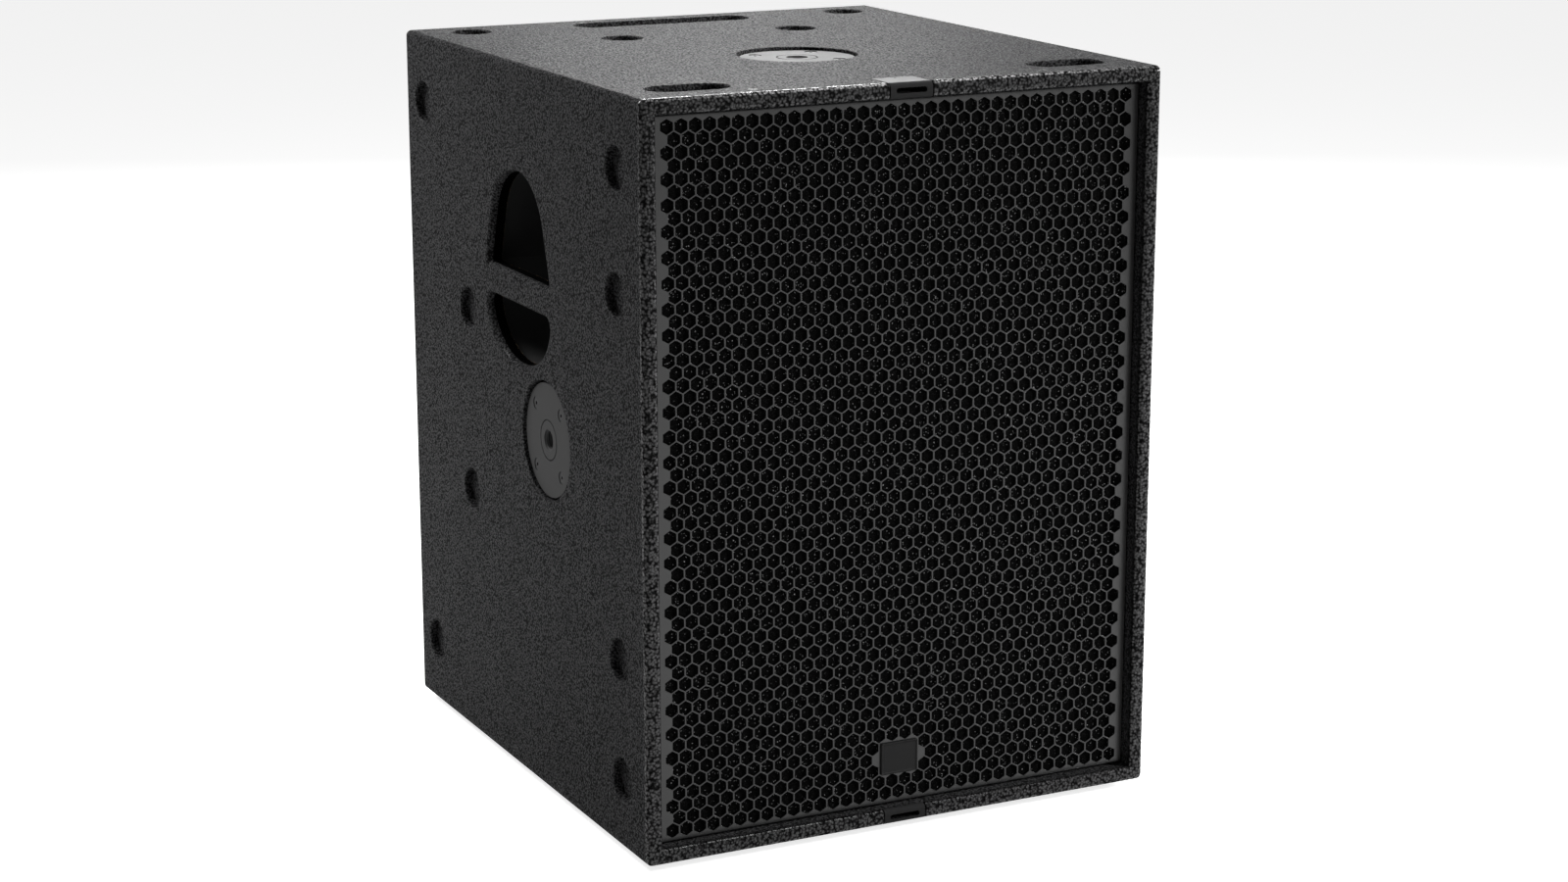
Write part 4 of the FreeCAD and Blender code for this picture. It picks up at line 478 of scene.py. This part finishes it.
def makeMaterials():
    # a coat is given as tone, roughness, specular level, grain scale, grain depth and how much the tone varies
    driver = sum(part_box("cone"), Vector()) / 2
    topPole = sum(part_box("pole_flange_top"), Vector()) / 2
    sidePole = sum(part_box("pole_flange_side"), Vector()) / 2
    made = {
        "paint": makeCabinetPaint(paintLook),
        "grille": makeCoat("grillePowderCoat", 0.004, 0.3, 0.52, 1300.0, 0.00005),
        "badge": makeCoat("badgeSatinCoat", 0.006, 0.3, 0.12, 2200.0, 0.00002),
        "catch": makeCoat("catchPlateCoat", 0.022, 0.45, 0.012, 1600.0, 0.00003),
        "screw": makeMetal("blackZincScrew", (0.11, 0.11, 0.115), 0.4),
        "flangeScrew": makeCoat("flangeScrewCoat", 0.022, 0.5, 0.08, 1800.0, 0.00002),
        "paintedScrew": makeCoat("paintedScrew", 0.012, 0.5, 0.03, 1800.0, 0.00002),
        "zinc": makeMetal("brightZinc", (0.72, 0.73, 0.75), 0.32),
        "steel": makeMetal("turnedMotorSteel", (0.6, 0.61, 0.63), 0.34, 0.00001, driver),
        "copper": makeMetal("enamelledCopper", (0.78, 0.36, 0.18), 0.28),
        "braid": makeMetal("tinnedBraid", (0.8, 0.68, 0.52), 0.4, 0.00012),
        # the top and side flanges have one finish; the top one is painted darker and the side one lighter, as
        # painted shade and painted light
        "topPole": makeThreadedCoat("topPoleShadedCoat", 0.024, 0.55, 0.03, topPole, "z"),
        "sidePole": makeThreadedCoat("sidePoleLitCoat", 0.044, 0.55, 0.03, sidePole, "x"),
        "cup": makeCoat("handleCupPlastic", 0.012, 0.5, 0.4, 1400.0, 0.00008),
        "basket": makeCoat("basketCastCoat", 0.02, 0.55, 0.45, 700.0, 0.0002),
        "ferrite": makeCoat("groundFerrite", 0.05, 0.5, 0.5, 260.0, 0.00012, 0.3),
        "plastic": makeCoat("mouldedBlackPlastic", 0.014, 0.4, 0.5, 1800.0, 0.00004),
        "socket": makeCoat("socketNylon", 0.016, 0.34, 0.5, 2000.0, 0.00003),
        "dish": makeCoat("dishPowderCoat", 0.024, 0.45, 0.5, 1300.0, 0.00007),
        "former": makeCoat("polyimideFormer", 0.2, 0.3, 0.5, 500.0, 0.00002),
        "rubber": makeRubber("footRubber"),
        "seal": makeRubber("cellRubberSeal", 0.03),
        "jacket": makeRubber("cableJacket", 0.014),
        "plyFront": makePlywood("plywoodAcrossDepth", "y"),
        "plyFlat": makePlywood("plywoodAcrossHeight", "z"),
        "plySide": makePlywood("plywoodAcrossWidth", "x"),
        "foam": makeFoamMaterial(foamLook),
        "cone": makeFibre("conePaper", (0.012, 0.012, 0.012), (0.05, 0.05, 0.05), 700.0, 0.00015, 0.0),
        "fleece": makeFibre("polyesterFleece", (0.42, 0.42, 0.4), (0.8, 0.8, 0.77), 900.0, 0.0009),
        "surround": makeFabric("dopedSurroundCloth", (0.01, 0.01, 0.01), (0.035, 0.035, 0.035), 5200.0,
                               0.0001, 0.5),
        "spider": makeFabric("resinSpiderCloth", (0.4, 0.27, 0.1), (0.72, 0.55, 0.26), 5600.0, 0.0001, 0.7),
    }
    wear = {
        "paint": ["top_panel", "bottom_panel", "left_side_panel", "right_side_panel", "rear_panel"],
        "plyFront": ["front_baffle", "window_brace"], "plyFlat": ["port_shelf"],
        "plySide": ["port_fins", "baffle_battens"],
        "topPole": ["pole_flange_top"], "sidePole": ["pole_flange_side"],
        "catch": ["catch_plate_top", "catch_plate_bottom"],
        "flangeScrew": ["pole_flange_screws"], "paintedScrew": ["grille_screws", "catch_plate_screws"],
        "screw": ["foot_screws", "handle_cup_screws", "driver_bolts", "dish_screws", "socket_screws",
                  "cable_clip_screws"],
        "zinc": ["foot_washers", "pole_flange_tee_nuts", "grille_inserts", "badge_push_nuts", "motor_screws",
                 "driver_tee_nuts"],
        "rubber": ["rubber_feet_bottom", "rubber_feet_side"], "cup": ["handle_cup_left", "handle_cup_right"],
        "basket": ["driver_basket"], "ferrite": ["ferrite_magnet"], "steel": ["motor_top_plate", "pole_piece"],
        "cone": ["cone", "dust_cap"], "former": ["voice_coil_former"], "copper": ["voice_coil_winding"],
        "seal": ["driver_rear_seal", "driver_front_seal", "dish_seal"],
        "plastic": ["terminal_block", "cable_plug", "cable_clips"], "dish": ["terminal_dish"],
        "socket": ["speaker_sockets"], "jacket": ["speaker_cable"],
    }
    for key, names in wear.items():
        dress(made[key], *names)
    return made


finish = makeMaterials()
print("materials ready:", len(finish))


# grille: one perforated sheet with a folded rim

grilleSetup = {"holePitch": 0.013785, "rowSpacing": 0.011546, "columns": 35, "rows": 57, "holeWidth": 0.0123,
               "holeHeight": 0.0141, "sheet": 0.0015, "foldRadius": 0.0018, "foldSteps": 4, "rim": 0.014,
               "edgeBreak": 0.00045, "edgeAngle": 70.0, "flatAngle": 0.001, "landWidth": 0.044,
               "landHeight": 0.025}


weldDistance = 1e-6
rowEndSlack = 0.001


def joinAll(tree, *parts):
    node = addNode(tree, "GeometryNodeJoinGeometry")
    for part in parts:
        tree.links.new(part, node.inputs[0])
    return node.outputs[0]


def perforatedSheetTree():
    group, given, result = newGroup("perforatedSheet", "GeometryNodeTree", [
        ("Geometry", "Geometry", None), ("Width", "Float", 0.5), ("Height", "Float", 0.65),
        ("Columns", "Int", 35), ("Rows", "Int", 57), ("Pitch", "Float", 0.0138),
        ("Row Spacing", "Float", 0.0115), ("Hole Width", "Float", 0.0123), ("Hole Height", "Float", 0.0141),
        ("Land Middle", "Vector", None), ("Land Width", "Float", 0.044), ("Land Height", "Float", 0.025),
        ("Sheet", "Float", 0.0015), ("Place", "Vector", None), ("Coat", "Material", None)],
        [("Geometry", "Geometry")])
    spanX = maths(group, "MULTIPLY", maths(group, "SUBTRACT", given["Columns"], 1), given["Pitch"])
    spanY = maths(group, "MULTIPLY", maths(group, "SUBTRACT", given["Rows"], 1), given["Row Spacing"])
    grid = addNode(group, "GeometryNodeMeshGrid", {"Size X": spanX, "Size Y": spanY,
                   "Vertices X": given["Columns"], "Vertices Y": given["Rows"]}).outputs["Mesh"]
    part = split(group, addNode(group, "GeometryNodeInputPosition").outputs[0])
    row = maths(group, "DIVIDE", maths(group, "MULTIPLY_ADD", spanY, 0.5, part[1]), given["Row Spacing"])
    odd = maths(group, "MODULO", maths(group, "ROUND", row), 2.0)
    halfPitch = maths(group, "MULTIPLY", given["Pitch"], 0.5)
    shift = addNode(group, "ShaderNodeCombineXYZ", {0: maths(group, "MULTIPLY", odd, halfPitch)}).outputs[0]
    moved = addNode(group, "GeometryNodeSetPosition", {"Geometry": grid, "Offset": shift}).outputs[0]
    # the shifted rows have one hole less
    beyond = maths(group, "GREATER_THAN", part[0], maths(group, "MULTIPLY_ADD", spanX, 0.5, rowEndSlack))
    position = addNode(group, "GeometryNodeInputPosition").outputs[0]
    away = split(group, vectorMaths(group, "ABSOLUTE", vectorMaths(
        group, "SUBTRACT", position, given["Land Middle"])))
    landX = maths(group, "LESS_THAN", away[0], maths(group, "MULTIPLY", given["Land Width"], 0.5))
    landY = maths(group, "LESS_THAN", away[1], maths(group, "MULTIPLY", given["Land Height"], 0.5))
    dropped = maths(group, "MAXIMUM", beyond, maths(group, "MULTIPLY", landX, landY))
    kept = addNode(group, "GeometryNodeDeleteGeometry", {"Geometry": moved, "Selection": dropped},
                   domain="POINT").outputs[0]
    circle = addNode(group, "GeometryNodeCurvePrimitiveCircle", {"Resolution": 6}).outputs["Curve"]
    upright = addNode(group, "GeometryNodeTransform", {"Geometry": circle,
                      "Rotation": (0, 0, math.radians(30))}).outputs[0]
    size = addNode(group, "ShaderNodeCombineXYZ", {0: maths(group, "DIVIDE", given["Hole Width"], math.sqrt(3)),
                   1: maths(group, "MULTIPLY", given["Hole Height"], 0.5), 2: 1.0}).outputs[0]
    hole = addNode(group, "GeometryNodeTransform", {"Geometry": upright, "Scale": size}).outputs[0]
    holes = addNode(group, "GeometryNodeInstanceOnPoints", {"Points": kept, "Instance": hole}).outputs[0]
    holes = addNode(group, "GeometryNodeRealizeInstances", {"Geometry": holes}).outputs[0]
    border = addNode(group, "GeometryNodeCurvePrimitiveQuadrilateral", {"Width": given["Width"],
                     "Height": given["Height"]}).outputs[0]
    face = addNode(group, "GeometryNodeFillCurve", {0: joinAll(group, holes, border)}).outputs[0]
    thick = addNode(group, "GeometryNodeExtrudeMesh", {"Mesh": face, "Offset Scale": given["Sheet"],
                    "Individual": False}, mode="FACES").outputs["Mesh"]
    underside = addNode(group, "GeometryNodeFlipFaces", {0: face}).outputs[0]
    welded = addNode(group, "GeometryNodeMergeByDistance", {"Geometry": joinAll(group, thick, underside),
                     "Distance": weldDistance}).outputs[0]
    stood = addNode(group, "GeometryNodeTransform", {"Geometry": welded, "Rotation": (math.radians(90), 0, 0),
                    "Translation": given["Place"]}).outputs[0]
    real = addNode(group, "GeometryNodeRealizeInstances", {"Geometry": stood}).outputs[0]
    plug(group, result["Geometry"], addNode(group, "GeometryNodeSetMaterial", {"Geometry": real,
         "Material": given["Coat"]}).outputs[0])
    return group


def runTree(name, group, values):
    # evaluates a geometry tree to a plain mesh
    carrier = bpy.data.objects.new(name + "Carrier", bpy.data.meshes.new(name + "Seed"))
    scene.collection.objects.link(carrier)
    modifier = carrier.modifiers.new(name, "NODES")
    modifier.node_group = group
    for item in group.interface.items_tree:
        if item.item_type == "SOCKET" and item.in_out == "INPUT" and item.name in values:
            modifier[item.identifier] = values[item.name]
    bpy.context.view_layer.update()
    view = bpy.context.evaluated_depsgraph_get()
    mesh = bpy.data.meshes.new_from_object(carrier.evaluated_get(view), depsgraph=view)
    bpy.data.objects.remove(carrier)
    mesh.name = name
    return mesh


def addObject(name, mesh, material=None):
    item = bpy.data.objects.new(name, mesh)
    scene.collection.objects.link(item)
    if material is not None and not mesh.materials:
        mesh.materials.append(material)
    return item


def bakeModifiers(item):
    # puts the modifiers' result in the object's own mesh
    bpy.context.view_layer.update()
    view = bpy.context.evaluated_depsgraph_get()
    mesh = bpy.data.meshes.new_from_object(item.evaluated_get(view), depsgraph=view)
    item.modifiers.clear()
    item.data = mesh
    return item


def standIn(item, slotName, body, *names):
    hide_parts(*names)
    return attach(item, body)


def ringOfLoops(build, loops, closed=True):
    # quads between rectangles or rings with the same number of corners
    rings = [[build.verts.new(point) for point in loop] for loop in loops]
    for a, b in zip(rings, rings[1:] + (rings[:1] if closed else [])):
        for i in range(len(a)):
            j = (i + 1) % len(a)
            build.faces.new((a[i], a[j], b[j], b[i]))
    return rings


def makeGrille(setup):
    low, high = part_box("grille")
    middle = (low + high) / 2
    halfX, halfZ = (high.x - low.x) / 2, (high.z - low.z) / 2
    fold = setup["foldRadius"]
    front, back = low.y, low.y + setup["rim"]
    badge = sum(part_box("badge_plate"), Vector()) / 2
    mesh = runTree("grilleSheet", perforatedSheetTree(), {
        "Width": 2 * (halfX - fold), "Height": 2 * (halfZ - fold), "Columns": setup["columns"],
        "Rows": setup["rows"], "Pitch": setup["holePitch"], "Row Spacing": setup["rowSpacing"],
        "Hole Width": setup["holeWidth"], "Hole Height": setup["holeHeight"],
        "Land Middle": (badge.x - middle.x, badge.z - middle.z, 0.0), "Land Width": setup["landWidth"],
        "Land Height": setup["landHeight"], "Sheet": setup["sheet"],
        "Place": (middle.x, front + setup["sheet"], middle.z), "Coat": finish["grille"]})

    def rectangle(inset, y):
        x, z = halfX - inset, halfZ - inset
        corners = ((-1, -1), (1, -1), (1, 1), (-1, 1))
        return [Vector((middle.x + a * x, y, middle.z + b * z)) for a, b in corners]

    loops = []
    for step in range(setup["foldSteps"] + 1):
        angle = math.pi / 2 * step / setup["foldSteps"]
        loops.append(rectangle(fold * (1 - math.sin(angle)), front + fold * (1 - math.cos(angle))))
    loops += [rectangle(0, back), rectangle(setup["sheet"], back), rectangle(setup["sheet"], front + fold),
              rectangle(fold, front + setup["sheet"])]
    build = bmesh.new()
    build.from_mesh(mesh)
    ringOfLoops(build, loops)
    bmesh.ops.recalc_face_normals(build, faces=build.faces)
    # flat triangles are merged, because the bevel folds over slivers
    bmesh.ops.dissolve_limit(build, angle_limit=setup["flatAngle"], verts=build.verts, edges=build.edges)
    for face in build.faces:
        face.material_index = 0
    build.to_mesh(mesh)
    build.free()
    mesh.materials.clear()
    mesh.shade_smooth()
    grille = addObject("grillePanel", mesh, finish["grille"])
    edge = grille.modifiers.new("edgeBreak", "BEVEL")
    edge.width, edge.segments, edge.limit_method = setup["edgeBreak"], 2, "ANGLE"
    edge.angle_limit, edge.harden_normals = math.radians(setup["edgeAngle"]), True
    bakeModifiers(grille)
    return standIn(grille, "grille_coat", "cabinet", "grille")


makeGrille(grilleSetup)
print("grille ready")


# foam sheet behind the grille

# each wave is a scale and its share of the relief
foamSetup = {"cell": 0.0032, "relief": 0.0011, "seed": 7.0, "waves": ((210, 0.6), (520, 0.4)), "sharp": 60.0,
             "fill": 0.9}


def makeFoam(setup):
    low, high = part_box("grille_foam")
    columns = int((high.x - low.x) / setup["cell"])
    rows = int((high.z - low.z) / setup["cell"])
    build = bmesh.new()
    grid = []
    for r in range(rows + 1):
        line = []
        for c in range(columns + 1):
            x = low.x + (high.x - low.x) * c / columns
            z = low.z + (high.z - low.z) * r / rows
            rough = sum(noise.noise(Vector((x * scale, setup["seed"], z * scale))) * share
                        for scale, share in setup["waves"])
            depth = setup["relief"] * (0.5 + 0.5 * rough) if 0 < r < rows and 0 < c < columns else 0.0
            line.append(build.verts.new((x, low.y + depth, z)))
        grid.append(line)
    for r in range(rows):
        for c in range(columns):
            build.faces.new((grid[r][c], grid[r][c + 1], grid[r + 1][c + 1], grid[r + 1][c]))
    rim = grid[0] + [line[-1] for line in grid[1:]] + grid[-1][-2::-1] + [line[0] for line in grid[-2:0:-1]]
    far = [build.verts.new((v.co.x, high.y, v.co.z)) for v in rim]
    for i in range(len(rim)):
        j = (i + 1) % len(rim)
        build.faces.new((rim[j], rim[i], far[i], far[j]))
    build.faces.new(far)
    bmesh.ops.recalc_face_normals(build, faces=build.faces)
    for face in build.faces:
        face.smooth = True
    mesh = bpy.data.meshes.new("foamSheet")
    build.to_mesh(mesh)
    build.free()
    foam = addObject("foamSheet", mesh, finish["foam"])
    mesh.set_sharp_from_angle(angle=math.radians(setup["sharp"]))
    standIn(foam, "foam", "cabinet", "grille_foam")
    return foam


makeFoam(foamSetup)
print("foam ready")


# badge: bare plate with a raised rim

badgeSetup = {"corner": 0.0008, "leastCorner": 0.0003, "cornerTaper": 0.4, "cornerSteps": 3,
              "edgeBreak": 0.0004, "rim": 0.0006, "bevel": 0.0011}


def roundedRectangle(middle, halfX, halfZ, corner, steps, y):
    loop = []
    for side, (sx, sz) in enumerate(((1, 1), (-1, 1), (-1, -1), (1, -1))):
        for step in range(steps + 1):
            angle = math.pi / 2 * (side + step / steps)
            loop.append(Vector((middle.x + sx * (halfX - corner) + corner * math.cos(angle), y,
                                middle.z + sz * (halfZ - corner) + corner * math.sin(angle))))
    return loop


def makeBadge(setup):
    low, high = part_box("badge_plate")
    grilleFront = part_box("grille")[0].y
    middle = (low + high) / 2
    halfX, halfZ = (high.x - low.x) / 2, (high.z - low.z) / 2

    def loop(inset, y):
        corner = max(setup["corner"] - inset * setup["cornerTaper"], setup["leastCorner"])
        return roundedRectangle(middle, halfX - inset, halfZ - inset, corner, setup["cornerSteps"], y)

    cut, rim, bevel = setup["edgeBreak"], setup["rim"], setup["bevel"]
    inner = cut + rim
    build = bmesh.new()
    loops = [loop(0, grilleFront), loop(0, low.y + cut), loop(cut, low.y), loop(inner, low.y),
             loop(inner + bevel, low.y + bevel)]
    rings = ringOfLoops(build, loops, closed=False)
    build.faces.new(rings[0])
    build.faces.new(rings[-1])
    bmesh.ops.recalc_face_normals(build, faces=build.faces)
    mesh = bpy.data.meshes.new("badge")
    build.to_mesh(mesh)
    build.free()
    return standIn(addObject("badgePlate", mesh, finish["badge"]), "badge", "cabinet", "badge_plate")


makeBadge(badgeSetup)
print("badge ready")


# cloth parts of the driver, which stretch between the frame and the moving cone

# slot, then the inner and outer radius between which each one stretches
clothSetup = {"surround": ("surround_cloth", 0.188, 0.211), "spider": ("spider_cloth", 0.041, 0.099)}
leadSetup = {"atTag": 0.003, "atCone": 0.002}
sharpAngle = math.radians(40)


def copyOfNode(name, newName, material):
    mesh = nodes[name].data.copy()
    mesh.name = newName
    build = bmesh.new()
    build.from_mesh(mesh)
    bmesh.ops.remove_doubles(build, verts=build.verts, dist=weldDistance)
    bmesh.ops.recalc_face_normals(build, faces=build.faces)
    build.to_mesh(mesh)
    build.free()
    mesh.shade_smooth()
    mesh.set_sharp_from_angle(angle=sharpAngle)
    mesh.materials.clear()
    return addObject(newName, mesh, material)


def makeCloth(node, slotName, inner, outer):
    # inside the inner radius it moves with the cone, outside the outer one it stays on the frame
    item = copyOfNode(node, node + "Cloth", finish[node])
    low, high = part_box("cone")
    axis = (low + high) / 2
    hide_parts(node)
    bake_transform(item, "cabinet", "moving_assembly", axis + Vector((outer, 0, 0)), axis + Vector((inner, 0, 0)))
    shares = item.data.attributes["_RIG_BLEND"].data
    for vertex, share in zip(item.data.vertices, shares):
        radius = math.hypot(vertex.co.x - axis.x, vertex.co.z - axis.z)
        t = min(max((outer - radius) / (outer - inner), 0.0), 1.0)
        share.value = t * t * (3 - 2 * t)
    return item


def makeTinselLeads(setup):
    item = copyOfNode("tinsel_leads", "tinselBraid", finish["braid"])
    low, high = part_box("tinsel_leads")
    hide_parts("tinsel_leads")
    middle = (low.z + high.z) / 2
    start = Vector((high.x - setup["atTag"], high.y, middle))
    end = Vector((low.x + setup["atCone"], low.y, middle))
    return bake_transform(item, "cabinet", "moving_assembly", start, end)


for name, values in clothSetup.items():
    makeCloth(name, *values)
makeTinselLeads(leadSetup)
print("driver cloth ready")


# fleece batt on the rear panel

# the skin sinks by sink of puff, less by pull of it at the staples, and waves by wave of it
fleeceSetup = {"voxel": 0.006, "puff": 0.0032, "staple": 0.09, "sink": 0.45, "pull": 0.35, "wave": 0.3,
               "waveScale": 45, "least": 0.0004, "edge": 0.004, "fill": 0.5}


def makeFleece(setup):
    item = copyOfNode("damping_fleece", "fleeceBatt", finish["fleece"])
    skin = item.modifiers.new("skin", "REMESH")
    skin.mode, skin.voxel_size = "VOXEL", setup["voxel"]
    bakeModifiers(item)
    low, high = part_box("damping_fleece")
    for vertex in item.data.vertices:
        spot = vertex.co
        dip = math.cos(math.pi * spot.x / setup["staple"]) * math.cos(math.pi * spot.z / setup["staple"])
        wave = setup["wave"] * noise.noise(spot * setup["waveScale"])
        inward = setup["puff"] * (setup["sink"] - setup["pull"] * dip * dip + wave) + setup["least"]
        edge = min((high.y - spot.y) / setup["edge"], 1.0)
        vertex.co.y = min(max(spot.y + inward * edge, low.y), high.y)
        vertex.co.x = min(max(spot.x, low.x), high.x)
        vertex.co.z = min(max(spot.z, low.z), high.z)
    item.data.materials.clear()
    item.data.materials.append(finish["fleece"])
    item.data.shade_smooth()
    standIn(item, "fleece", "cabinet", "damping_fleece")
    return item


makeFleece(fleeceSetup)
print("fleece ready")


# floor, sky and lamps

# each lamp is its place, its size and its power
stageSetup = {"floorSize": 30, "floorTone": 0.7, "floorLift": 0.8, "sky": 0.1, "lamps": {
    "key": ((2.4, -1.75, 1.35), (0.4, 0.4), 90.0), "overhead": ((1.0, -0.1, 2.5), (1.8, 0.5), 34.0),
    "right": ((2.5, 0.0, 0.95), (1.6, 0.5), 50.0), "left": ((-1.1, 1.2, 1.6), (0.6, 0.6), 36.0),
    "back": ((1.3, 2.8, 1.75), (0.9, 0.5), 60.0)}}


def seenPale(tree, strength):
    # what the camera, mirrored rays and rays through glass see; other rays get nothing from it
    path = addNode(tree, "ShaderNodeLightPath").outputs
    seen = maths(tree, "MAXIMUM", path["Is Camera Ray"], path["Is Glossy Ray"])
    return maths(tree, "MULTIPLY", maths(tree, "MAXIMUM", seen, path["Is Transmission Ray"]), strength)


def makeWorld(setup):
    scene.world = bpy.data.worlds.new("studio")
    tree = clearTree(scene.world)
    dim = addNode(tree, "ShaderNodeBackground", {0: shade(setup["sky"]), 1: 1.0}).outputs[0]
    white = addNode(tree, "ShaderNodeBackground", {0: shade(1.0), 1: 1.0}).outputs[0]
    both = addNode(tree, "ShaderNodeMixShader", {0: seenPale(tree, 1.0), 1: dim, 2: white}).outputs[0]
    addNode(tree, "ShaderNodeOutputWorld", {0: both})


def makeFloor(setup):
    build = bmesh.new()
    bmesh.ops.create_grid(build, x_segments=1, y_segments=1, size=setup["floorSize"])
    mesh = bpy.data.meshes.new("floor")
    build.to_mesh(mesh)
    build.free()
    material = bpy.data.materials.new("paleFloor")
    tree = clearTree(material)
    matt = addNode(tree, "ShaderNodeBsdfDiffuse", {0: shade(setup["floorTone"])}).outputs[0]
    glow = seenPale(tree, setup["floorLift"])
    lift = addNode(tree, "ShaderNodeEmission", {0: shade(1.0), 1: glow}).outputs[0]
    both = addNode(tree, "ShaderNodeAddShader", {0: matt, 1: lift}).outputs[0]
    addNode(tree, "ShaderNodeOutputMaterial", {0: both})
    floor = addObject("floor", mesh, material)
    floor.location.z = cadLow.z


def makeLamps(setup):
    aim = (cadLow + cadHigh) / 2
    for name, (place, size, power) in setup["lamps"].items():
        lamp = bpy.data.lights.new(name, "AREA")
        lamp.shape, lamp.size, lamp.size_y, lamp.energy = "RECTANGLE", size[0], size[1], power
        item = bpy.data.objects.new(name, lamp)
        item.location = place
        item.visible_camera = False
        item.rotation_euler = (aim - Vector(place)).to_track_quat("-Z", "Y").to_euler()
        scene.collection.objects.link(item)


makeWorld(stageSetup)
makeFloor(stageSetup)
makeLamps(stageSetup)
scene.view_settings.view_transform = "Standard"
print("stage ready")
